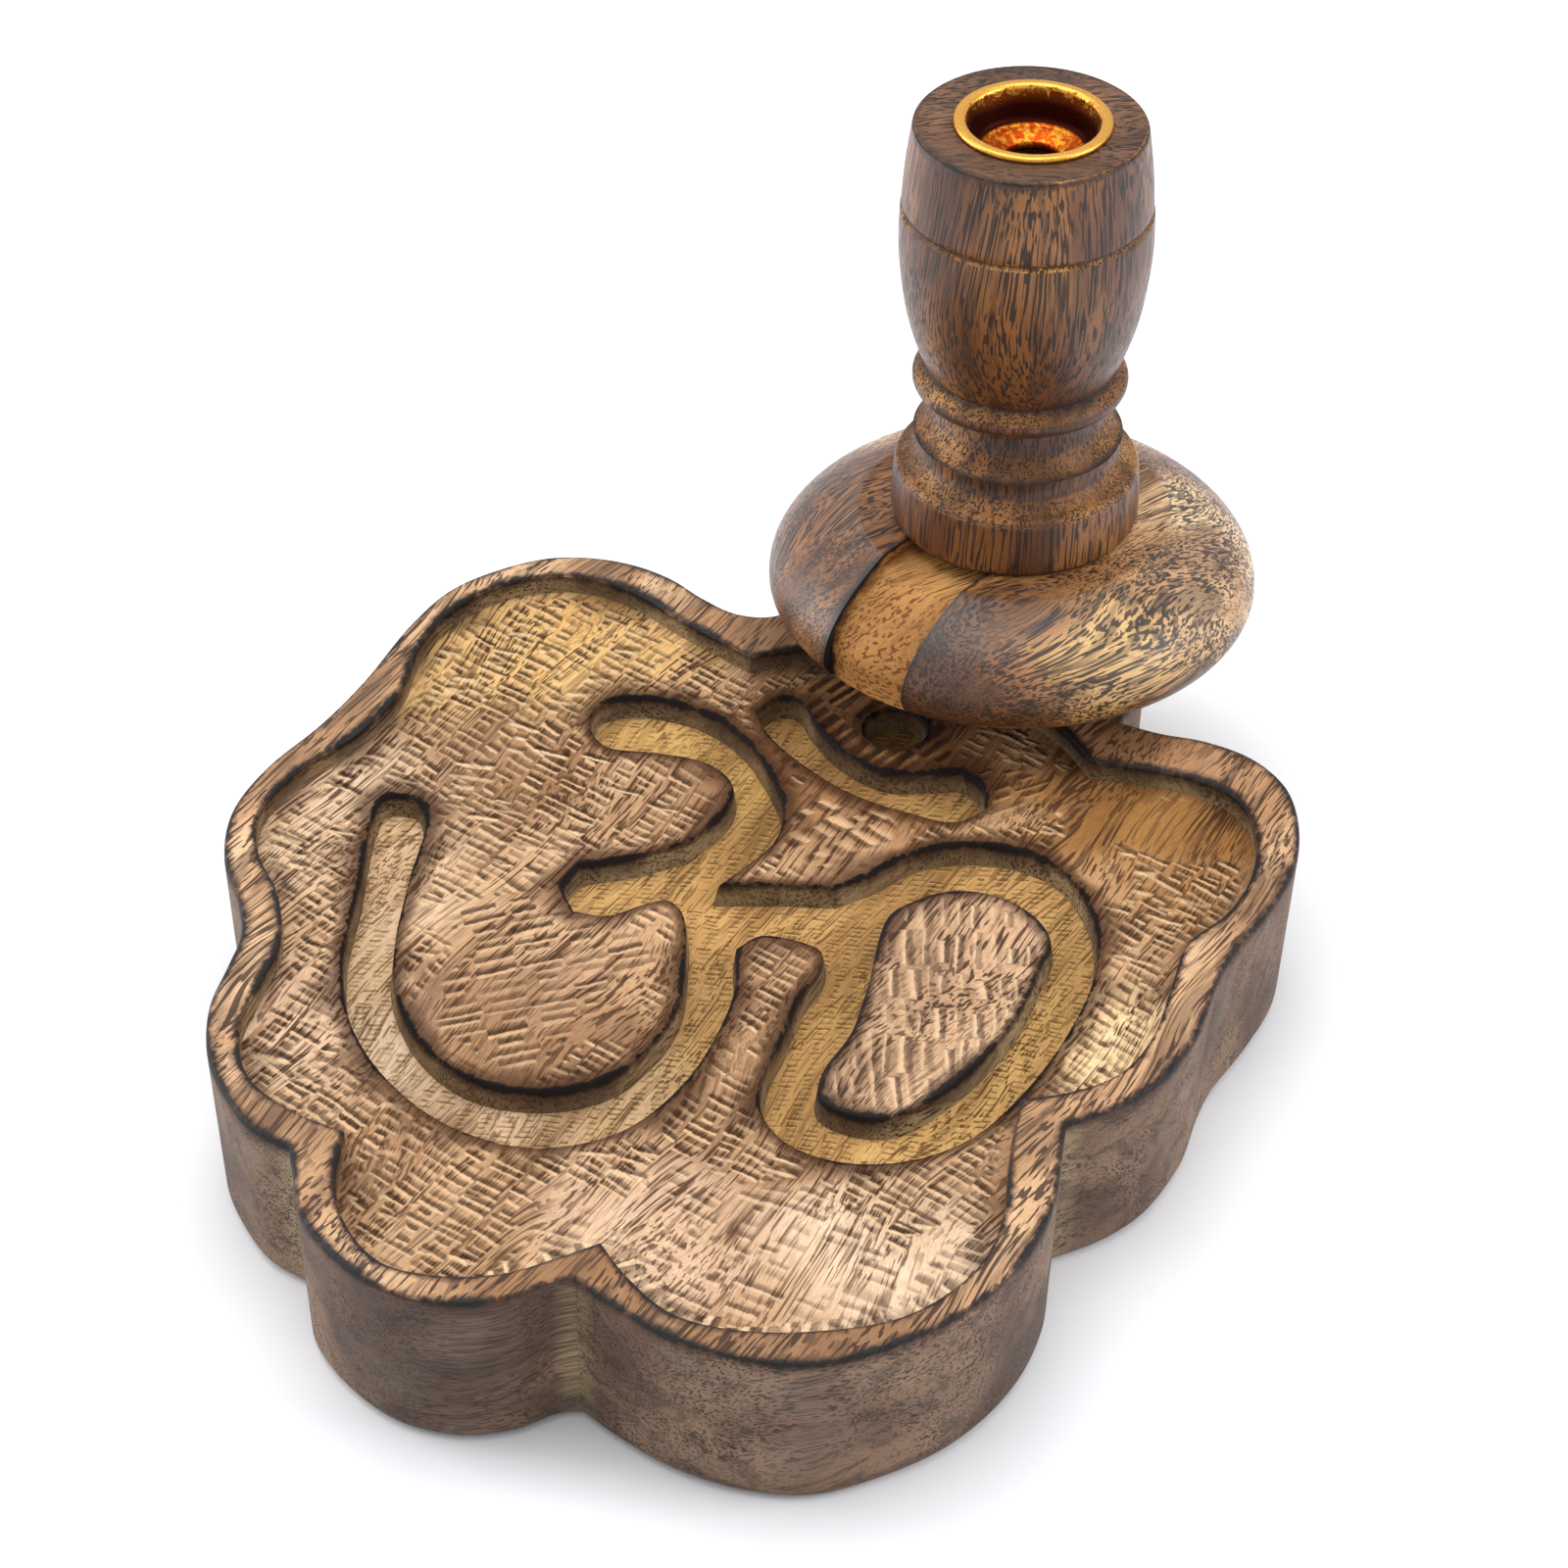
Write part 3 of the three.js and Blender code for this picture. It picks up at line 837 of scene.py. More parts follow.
def chisel_marks(recipe: StabRecipe = StabRecipe()) -> bpy.types.NodeTree:
    """Rows of short chisel stabs: columns along the vector's Y, each stab lying across its column."""
    group = Group(
        "chisel_marks",
        {"Vector": NOWHERE, "Column": 5.0, "Pitch": 1.6, "Length": 3.2, "Width": 0.7, "Slant": 0.0,
         "Keep": 0.7, "Wander": 4.0},
        {"Cut": 0.0, "Burr": 0.0, "Height": 0.0},
    )
    given = group.given
    sway = group.centred(group.layer(given["Vector"], recipe.sway, "Color"), vector=True)
    sway = group.vector("SCALE", sway, given["Wander"])
    ragged = group.centred(group.layer(given["Vector"], recipe.ragged, "Color"), vector=True)
    ragged = group.vector("SCALE", ragged, recipe.ragged_reach)
    x, y, _ = group.split(group.vector("ADD", given["Vector"], group.vector("ADD", sway, ragged)))
    column = group.math("DIVIDE", x, given["Column"])
    number = group.math("FLOOR", column)
    across = group.product(group.centred(group.math("FRACT", column)), given["Column"])
    lag = group.random(group.join(number, *recipe.column_seed))
    lag = group.product(lag, given["Pitch"], recipe.lag)
    pace = group.join(group.product(number, recipe.pace_step), group.product(y, recipe.pace_change),
                      recipe.pace_seed)
    pace = group.product(group.centred(group.noise(pace, 1.0)), given["Pitch"], recipe.pace_reach)
    tilt = group.math("MULTIPLY_ADD", pace, recipe.pace_tilt, given["Slant"])
    climb = group.math("SUBTRACT", group.math("ADD", y, lag), group.product(across, tilt))
    row = group.math("DIVIDE", group.math("ADD", climb, pace), given["Pitch"])
    place = group.math("FLOOR", row)
    along = group.product(group.centred(group.math("FRACT", row)), given["Pitch"])
    chance = group.split(group.random(group.join(number, place, recipe.stab_seed), "Color"))
    shift = group.product(group.centred(chance[0]), given["Column"], recipe.shift)
    across = group.math("ABSOLUTE", group.math("ADD", across, shift))
    nudge = group.product(group.centred(chance[1]), given["Pitch"], recipe.nudge)
    along = group.math("ADD", along, nudge)
    half = group.product(given["Length"], group.line(chance[2], recipe.half_length_line))
    ends = group.less(across, group.math("SUBTRACT", half, recipe.end_fade), half)

    share = group.math("DIVIDE", along, given["Width"])
    steep = group.step(share, *recipe.steep)
    gentle = group.less(share, *recipe.gentle)
    lip = group.product(group.step(share, *recipe.lip), group.less(share, *recipe.lip_end))
    patch = group.layer(given["Vector"], recipe.missing)
    vote = group.math("MULTIPLY_ADD", group.centred(chance[1]), recipe.missing_chance, patch)
    bar = group.math("SUBTRACT", recipe.missing_bar, group.product(given["Keep"], recipe.missing_keep))
    alive = group.product(ends, group.step(vote, bar, group.math("ADD", bar, recipe.missing_edge)))
    strength = group.line(chance[0], recipe.strength_line)
    # Cut and Burr mask the stab's hollow and its lip; the materials paint shade and highlight into them.
    cut = group.product(steep, gentle, alive, strength)
    burr = group.product(lip, alive, strength)
    group.give("Cut", cut)
    group.give("Burr", burr)
    group.give("Height", group.math("SUBTRACT", group.product(burr, recipe.burr_height), cut))
    return group.tree


@dataclass(frozen=True)
class ScorchRecipe:
    """How a burnt edge varies along its length, and its colours."""

    ragged: Layer = Layer(0.8, 3.0)
    ragged_reach: float = 1.3
    lively: Layer = Layer(0.09)
    lively_mask: Point = (0.34, 0.66)
    width_line: Point = (1.1, 0.4)
    char_core: float = 0.45
    glow_line: Point = (1.2, 0.5)
    glow_start: float = 0.4
    glow_share: float = 0.85
    toasted: str = "3d2213"
    charred: str = "1c1614"


def scorch(recipe: ScorchRecipe = ScorchRecipe()) -> bpy.types.NodeTree:
    """A burnt line at an edge and a brown glow beside it, from the distance to the edge."""
    group = Group(
        "scorch",
        {"Vector": NOWHERE, "Distance": 0.0, "Width": 1.0, "Glow": 3.0, "Color": BLACK, "Strength": 1.0},
        {"Color": BLACK, "Char": 0.0},
    )
    given = group.given
    ragged = group.layer(given["Vector"], recipe.ragged)
    lively = group.step(group.layer(given["Vector"], recipe.lively), *recipe.lively_mask)
    reach = group.math("MULTIPLY_ADD", group.centred(ragged), recipe.ragged_reach, given["Distance"])
    wide = group.product(given["Width"], group.line(lively, recipe.width_line))
    char = group.less(reach, group.product(wide, recipe.char_core), wide)
    char = group.product(char, given["Strength"])
    far = group.product(given["Glow"], group.line(lively, recipe.glow_line))
    glow = group.less(reach, recipe.glow_start, far)
    glow = group.product(glow, given["Strength"], recipe.glow_share)
    toasted = group.mix(glow, given["Color"], colour(recipe.toasted))
    group.give("Color", group.mix(char, toasted, colour(recipe.charred)))
    group.give("Char", char)
    return group.tree


def handling() -> bpy.types.NodeTree:
    """Faint smudges and dust that handling leaves: a slow change of tone and of gloss."""
    smudges, filmed, film_colour, gloss_change = Layer(0.09, 4.0), (0.45, 0.8), "8d8175", 0.25
    group = Group(
        "handling",
        {"Vector": NOWHERE, "Color": BLACK, "Dust": 0.3},
        {"Color": BLACK, "Roughness": 0.0},
    )
    smudge = group.layer(group.given["Vector"], smudges)
    film = group.product(group.step(smudge, *filmed), group.given["Dust"])
    group.give("Color", group.mix(film, group.given["Color"], colour(film_colour)))
    group.give("Roughness", group.product(group.centred(smudge), gloss_change))
    return group.tree


@dataclass(frozen=True)
class PatinaRecipe:
    """A burnt-out brass cup's stains, by radius and height in millimetres, and its colours."""

    spots: Layer = Layer(0.9, 4.0, distortion=0.8)
    fine: Layer = Layer(3.5, 3.0)
    ragged_reach: float = 1.6
    bowl: Point = (8.35, 8.75)
    deep: Point = (-2.6, -0.6)
    floor: Point = (-4.75, -4.45)
    glinting: Point = (0.42, 0.62)
    scoured: Point = (0.62, 0.72)
    dirty: Point = (0.55, 0.75)
    dirt_share: float = 0.6
    worn: Point = (0.5, 0.8)
    worn_share: float = 0.35
    roughness_line: Point = (0.3, 0.27)
    metal_line: Point = (-0.3, 1.0)
    spot_height: float = 0.5
    wall_brown: str = "7c3c12"
    deep_brown: str = "38120b"
    ember_red: str = "b8430f"
    glint_gold: str = "e79c30"
    soot: str = "2a0e0c"
    bright_gold: str = "fbb650"
    worn_gold: str = "e39a38"


def cup_patina(recipe: PatinaRecipe = PatinaRecipe()) -> bpy.types.NodeTree:
    """Brass of a burnt-out cone cup: polished at the flange, smoked and tarnished inside."""
    group = Group(
        "cup_patina",
        {"Vector": NOWHERE, "Radius": 0.0, "Height": 0.0},
        {"Color": BLACK, "Roughness": 0.0, "Metallic": 0.0, "Bump": 0.0},
    )
    given = group.given
    spots = group.layer(given["Vector"], recipe.spots)
    fine = group.layer(given["Vector"], recipe.fine)
    ragged = group.math("MULTIPLY_ADD", group.centred(spots), recipe.ragged_reach, given["Radius"])
    inside = group.less(ragged, *recipe.bowl)
    deep = group.less(given["Height"], *recipe.deep)
    floor = group.less(given["Height"], *recipe.floor)
    smoked = group.mix(deep, colour(recipe.wall_brown), colour(recipe.deep_brown))
    glinting = group.step(spots, *recipe.glinting)
    glint = group.mix(glinting, colour(recipe.ember_red), colour(recipe.glint_gold))
    smoked = group.mix(group.product(floor, group.less(spots, *recipe.scoured)), smoked, glint)
    dirt = group.step(fine, *recipe.dirty)
    smoked = group.mix(group.product(dirt, recipe.dirt_share), smoked, colour(recipe.soot))
    worn = group.product(group.step(fine, *recipe.worn), recipe.worn_share)
    bright = group.mix(worn, colour(recipe.bright_gold), colour(recipe.worn_gold))
    group.give("Color", group.mix(inside, bright, smoked))
    group.give("Roughness", group.line(group.product(inside, fine), recipe.roughness_line))
    group.give("Metallic", group.line(group.product(inside, dirt), recipe.metal_line))
    group.give("Bump", group.math("MULTIPLY_ADD", spots, recipe.spot_height, fine))
    return group.tree


# ---- finishes ----


@dataclass(frozen=True)
class Spot:
    """A round stretch of a surface in plan, from the stem's axis."""

    x: float
    y: float
    radius: float
    uneven_share: ClassVar[float] = 0.3

    @staticmethod
    def wave(ahead: np.ndarray, beside: np.ndarray, pace: float, bend: float, turn: float) -> np.ndarray:
        """A wave along one way that bends to and fro along the other."""
        return np.sin(pace * ahead + bend * np.sin(turn * beside))

    def border(self, places: np.ndarray) -> np.ndarray:
        """Plan distance from each place to the spot's uneven edge, negative inside it."""
        x, y = (places[:, :2] - AXIS).T
        uneven = self.wave(x, y, 0.19, 1.9, 0.11) * self.wave(y, x, 0.17, 1.7, 0.13)
        return np.hypot(x - self.x, y - self.y) - self.radius * (1 + self.uneven_share * uneven)


@dataclass(frozen=True)
class Patch:
    """A spot where the wood is another tone, how strongly, and how soft its edge is."""

    spot: Spot
    tone: str
    share: float = 0.6
    soft: float = 0.55


def eased(share: np.ndarray) -> np.ndarray:
    """Shares held between nought and one, with soft ends."""
    share = np.clip(share, 0, 1)
    return share * share * (3 - 2 * share)


def blend_tones(places: np.ndarray, base: str, patches: Sequence[Patch]) -> np.ndarray:
    """Each place's tone in linear light: a base colour with patches of others over it."""
    tones = np.tile(colour(base), (len(places), 1))
    for patch in patches:
        fade = patch.spot.radius * patch.soft
        share = patch.share * eased(0.5 - patch.spot.border(places) / (2 * fade))
        tones += share[:, None] * (np.array(colour(patch.tone)) - tones)
    return tones


def write_tones(piece: bpy.types.Object, tones: np.ndarray) -> None:
    """Keeps one colour for each vertex on a piece, for its materials to read."""
    attribute = piece.data.attributes.new("tone", "FLOAT_COLOR", "POINT")
    attribute.data.foreach_set("color", tones.astype(np.float32).ravel())


@dataclass(frozen=True)
class Marks:
    """One set of chisel marks: its layout, its cut and lip colours, which are painted shade and painted
    highlight, and how far it keeps from edges.
    """

    column: float
    pitch: float
    length: float
    width: float
    slant: float
    keep: float
    turn: float = 0.0
    wander: float = 4.0
    clear: float = 1.0
    # The cut and lip colours paint the stab's light and shade: by default a shaded cut and a lit lip.
    cut_shading_colour: str = "3a2617"
    burr_shading_colour: str = "e6bd92"
    cut_shading_share: float = 0.8
    burr_shading_share: float = 0.55
    depth: float = 1.0
    at_rim: bool = False
    clear_mask: Point = (0.6, 1.4)
    rim_fade: float = 0.9


@dataclass(frozen=True)
class Burn:
    """How an edge was burnt: widths in millimetres."""

    width: float
    glow: float
    strength: float = 1.0


@dataclass(frozen=True)
class Timber:
    """One wooden surface and how it is finished."""

    name: str
    grain: Vector
    base: str
    pale: str
    dark: str
    figure: float = 1.0
    streaks: float = 0.8
    pores: float = 0.8
    swirl: float = 1.0
    roughness: float = 0.5
    coat: float = 0.0
    shine: float = 0.3
    dust: float = 0.2
    relief: float = 0.25
    burn: Burn | None = None
    fineness: float = 1.0
    cusps: str = ""
    marks: tuple[Marks, ...] = ()
    patches: tuple[Patch, ...] = ()
    toned: bool = False
    cusp_mask: Point = (0.6, 3.2)
    cusp_share: float = 0.8
    coat_roughness: float = 0.3
    bump_height: float = 0.45


class Workshop:
    """Makes the finishes, all from the same few shader groups."""

    BRASS_BUMP = 0.05
    STEEL_TONE, STEEL_DUST, STEEL_BUMP = "a9a8a2", 0.5, 0.02
    TURNING, TURNING_DETAIL = (0.4, 0.4, 6.0), 2.0
    STEEL_ROUGHNESS = (0.2, 0.25)

    def __init__(self) -> None:
        """Makes the groups once."""
        self.grain = wood_grain()
        self.chisel = chisel_marks()
        self.scorch = scorch()
        self.handling = handling()
        self.patina = cup_patina()

    @staticmethod
    def start(name: str) -> tuple[Graph, bpy.types.Node, bpy.types.Material]:
        """A new material, its graph and its surface shader."""
        material = bpy.data.materials.new(name)
        material.use_nodes = True
        graph = Graph(material.node_tree)
        return graph, material.node_tree.nodes["Principled BSDF"], material

    @staticmethod
    def place(graph: Graph):
        """The point being shaded, in millimetres from the stem's axis on the ground."""
        node = graph.tree.nodes.new("ShaderNodeTexCoord")
        scaled = graph.vector("SCALE", node.outputs["Object"], 1 / MM)
        return graph.vector("SUBTRACT", scaled, (*AXIS, 0.0))

    @staticmethod
    def along_grain(graph: Graph, place: Value, grain: Vector):
        """A place seen with the grain as its Z axis."""
        axis = grain.normalized()
        side = axis.orthogonal().normalized()
        other = axis.cross(side)
        parts = [graph.vector("DOT_PRODUCT", place, tuple(way), "Value") for way in (side, other, axis)]
        return graph.join(*parts)

    @staticmethod
    def bump(graph: Graph, height: Value, distance: float, normal: Value | None = None):
        """A bumped normal; distance is the height's full size in millimetres."""
        node = graph.tree.nodes.new("ShaderNodeBump")
        node.inputs["Distance"].default_value = distance * MM
        graph.feed(node.inputs["Height"], height)
        if normal is not None:
            graph.feed(node.inputs["Normal"], normal)
        return node.outputs["Normal"]

    def chase(self, graph: Graph, place: Value, marks: Marks, tone: Value):
        """Adds one set of chisel marks, painting shade and highlight into the colour at its cuts and
        lips.

        Args:
            graph: The material's graph.
            place: The point being shaded, in millimetres.
            marks: The set.
            tone: The wood's colour.

        Returns:
            The new colour, and the marks' height.
        """
        angle = math.radians(marks.turn)
        rows = ((math.cos(angle), math.sin(angle), 0.0), (-math.sin(angle), math.cos(angle), 0.0))
        flat = graph.join(*[graph.vector("DOT_PRODUCT", place, row, "Value") for row in rows])
        if marks.at_rim:
            flat = graph.join(graph.kept("rim_distance"), graph.kept("rim_along"))
        cut = graph.use(
            self.chisel, Vector=flat, Column=marks.column, Pitch=marks.pitch, Length=marks.length,
            Width=marks.width, Slant=marks.slant, Keep=marks.keep, Wander=marks.wander,
        )
        start, end = (marks.clear * edge for edge in marks.clear_mask)
        share = graph.step(graph.kept("edge_distance"), start, end)
        if marks.at_rim:
            rim = graph.less(graph.kept("rim_distance"), marks.column * marks.rim_fade, marks.column)
            share = graph.product(share, rim)
        # Painted shade and highlight of each stab's relief: the cut's colour, then the lip's.
        cuts = graph.product(cut["Cut"], share, marks.cut_shading_share)
        tone = graph.mix(cuts, tone, colour(marks.cut_shading_colour))
        burrs = graph.product(cut["Burr"], share, marks.burr_shading_share)
        tone = graph.mix(burrs, tone, colour(marks.burr_shading_colour))
        return tone, graph.product(cut["Height"], share, marks.depth)

    def timber(self, wood: Timber) -> bpy.types.Material:
        """The material of one wooden surface."""
        graph, shader, material = self.start(wood.name)
        place = self.place(graph)
        base: Value = colour(wood.base)
        pale: Value = colour(wood.pale)
        if wood.toned:
            base = graph.kept("tone", "Color")
            lift = np.array(colour(wood.pale)) / np.array(colour(wood.base))
            pale = graph.vector("MULTIPLY", base, tuple(lift[:3]))
        if wood.cusps:
            strip = graph.less(graph.kept("cusp_distance"), *wood.cusp_mask)
            base = graph.mix(graph.product(strip, wood.cusp_share), base, colour(wood.cusps))
            pale = graph.mix(graph.product(strip, wood.cusp_share), pale, colour(wood.cusps))
        grain = graph.use(
            self.grain, Vector=self.along_grain(graph, place, wood.grain), Base=base, Pale=pale,
            Dark=colour(wood.dark), Figure=wood.figure, Streaks=wood.streaks, Pores=wood.pores,
            Swirl=wood.swirl, Fineness=wood.fineness,
        )
        tone, height = grain["Color"], graph.product(grain["Height"], wood.relief)
        for marks in wood.marks:
            tone, rise = self.chase(graph, place, marks, tone)
            height = graph.math("ADD", height, rise)
        worn = graph.use(self.handling, Vector=place, Color=tone, Dust=wood.dust)
        tone = worn["Color"]
        uneven = graph.math("ADD", grain["Roughness"], worn["Roughness"])
        rough = graph.math("ADD", uneven, wood.roughness)
        if wood.burn:
            burnt = graph.use(
                self.scorch, Vector=place, Distance=graph.kept("burn_distance"), Width=wood.burn.width,
                Glow=wood.burn.glow, Color=tone, Strength=wood.burn.strength,
            )
            tone = burnt["Color"]
        graph.feed(shader.inputs["Base Color"], tone)
        graph.feed(shader.inputs["Roughness"], rough)
        graph.feed(shader.inputs["Coat Weight"], wood.coat)
        shader.inputs["Coat Roughness"].default_value = wood.coat_roughness
        shader.inputs["Specular IOR Level"].default_value = wood.shine
        graph.feed(shader.inputs["Normal"], self.bump(graph, height, wood.bump_height))
        return material

    def brass(self, name: str, top: float, offset: Point) -> bpy.types.Material:
        """The cup's brass.

        Args:
            name: The material's name.
            top: Height of the flange's top, in millimetres.
            offset: Plan place of the cup's axis from the stem's.
        """
        graph, shader, material = self.start(name)
        place = graph.vector("SUBTRACT", self.place(graph), (*offset, top))
        flat = graph.vector("MULTIPLY", place, (1, 1, 0))
        radius = graph.vector("LENGTH", flat, output="Value")
        worn = graph.use(self.patina, Vector=place, Radius=radius, Height=graph.split(place)[2])
        graph.feed(shader.inputs["Base Color"], worn["Color"])
        graph.feed(shader.inputs["Roughness"], worn["Roughness"])
        graph.feed(shader.inputs["Metallic"], worn["Metallic"])
        graph.feed(shader.inputs["Normal"], self.bump(graph, worn["Bump"], self.BRASS_BUMP))
        return material

    def steel(self, name: str) -> bpy.types.Material:
        """Plain bright screw steel with turning lines."""
        graph, shader, material = self.start(name)
        place = self.place(graph)
        lines = graph.noise(graph.stretched(place, self.TURNING), self.TURNING_DETAIL)
        tone = colour(self.STEEL_TONE)
        worn = graph.use(self.handling, Vector=place, Color=tone, Dust=self.STEEL_DUST)
        graph.feed(shader.inputs["Base Color"], worn["Color"])
        graph.feed(shader.inputs["Metallic"], 1.0)
        graph.feed(shader.inputs["Roughness"], graph.line(lines, self.STEEL_ROUGHNESS))
        graph.feed(shader.inputs["Normal"], self.bump(graph, lines, self.STEEL_BUMP))
        return material


# ---- the tray ----


ALONG_TRAY = Vector((0.03, 1.0, 0.06))
CLEAR_ABOVE = 4  # how far a floor's slab stands above the tray
ZONE_SHY = 0.3  # how far marks keep from a zone's edge

# Rise above a base height and inset, row by row.
FOOT_ARRIS = ((0, 1.5), (0.3, 0.85), (0.8, 0.35), (1.7, 0.0))
RIM_ARRIS = ((-1.0, 0.0), (-0.6, 0.04), (-0.3, 0.16), (-0.12, 0.36), (-0.03, 0.62), (0, 0.95), (1, 1.0))
POCKET_FOOT = ((-1, 0.25), (0.6, 0.06))
POCKET_ARRIS = ((-0.9, 0.0), (-0.5, -0.04), (-0.25, -0.16), (-0.1, -0.34), (0, -0.7), (2, -0.75))
GROOVE_FOOT = ((-2, 0.5), (0, 0.4))
GROOVE_ARRIS = ((-1.0, 0.08), (-0.5, 0.0), (-0.25, -0.08), (-0.08, -0.22), (0.04, -0.45), (2, -0.5))


class TrayFace(Enum):
    """The tray's kinds of surface, by material number."""

    RIM = 0
    FIELD = 1
    ISLAND = 2
    GROOVE = 3
    SIDE = 4
    CUT_WALL = 5
    BELLY = 6
    FRONT = 7
    BEHIND = 8
    BELOW = 9
    BESIDE = 10
    SMOOTH = 11


ZONES = {
    TrayFace.BELLY: (Spot(-22, -89, 15), Spot(-20, -100, 9)),
    TrayFace.FRONT: (Spot(30, -133, 22), Spot(52, -122, 14), Spot(8, -138, 10)),
    TrayFace.BEHIND: (Spot(-7, -27, 11),),
    TrayFace.BELOW: (Spot(-2, -48, 9),),
    TrayFace.BESIDE: (Spot(14, -31, 8),),
    TrayFace.SMOOTH: (Spot(27, -26, 8), Spot(37, -27, 7), Spot(31, -40, 6)),
}


def zone_border(zone: TrayFace, places: np.ndarray) -> np.ndarray:
    """Plan distance from each place to a zone's edge, negative inside it."""
    return np.min([spot.border(places) for spot in ZONES[zone]], axis=0)


@dataclass(frozen=True)
class TraySizes:
    """The tray's sizes in millimetres; its top is the CAD node's own."""

    top: float
    field_depth: float = 3.0
    groove_depth: float = 3.4
    lean: Lean | None = None
    rim_grid: float = 0.9
    field_grid: float = 0.6
    groove_grid: float = 0.6
    field_waves: tuple[Point, ...] = ((14.0, 0.05), (5.0, 0.05), (2.2, 0.04))
    groove_waves: tuple[Point, ...] = ((6.0, 0.12), (2.0, 0.07))
    screw_places: tuple[Point, ...] = ((-7, 4.5), (7, 4.5))
    screw_hole: float = 2.3
    sink_radius: float = 4.3
    sink_depth: float = 2.9
    sink_slope: float = 2.4
    slab_foot: float = -2.0

    @property
    def field(self) -> float:
        """Height of the chased field."""
        return self.top - self.field_depth

    @property
    def groove(self) -> float:
        """Height of the Om's floor."""
        return self.field - self.groove_depth


@dataclass(frozen=True)
class TrayBands:
    """Where the tray's kinds of surface part: in millimetres, or as how level a face lies."""

    groove_under_field: float = 0.35
    walls_under_field: float = 0.3
    rim_under_top: float = 0.55
    walls_under_top: float = 0.5
    sides_under_top: float = 0.35
    island_under_top: float = 1.0
    side_reach: float = 3.0
    side_level: float = 0.7
    wall_level: float = 0.6
    rim_tone_under_top: float = 0.7
    groove_tone_under_field: float = 0.6


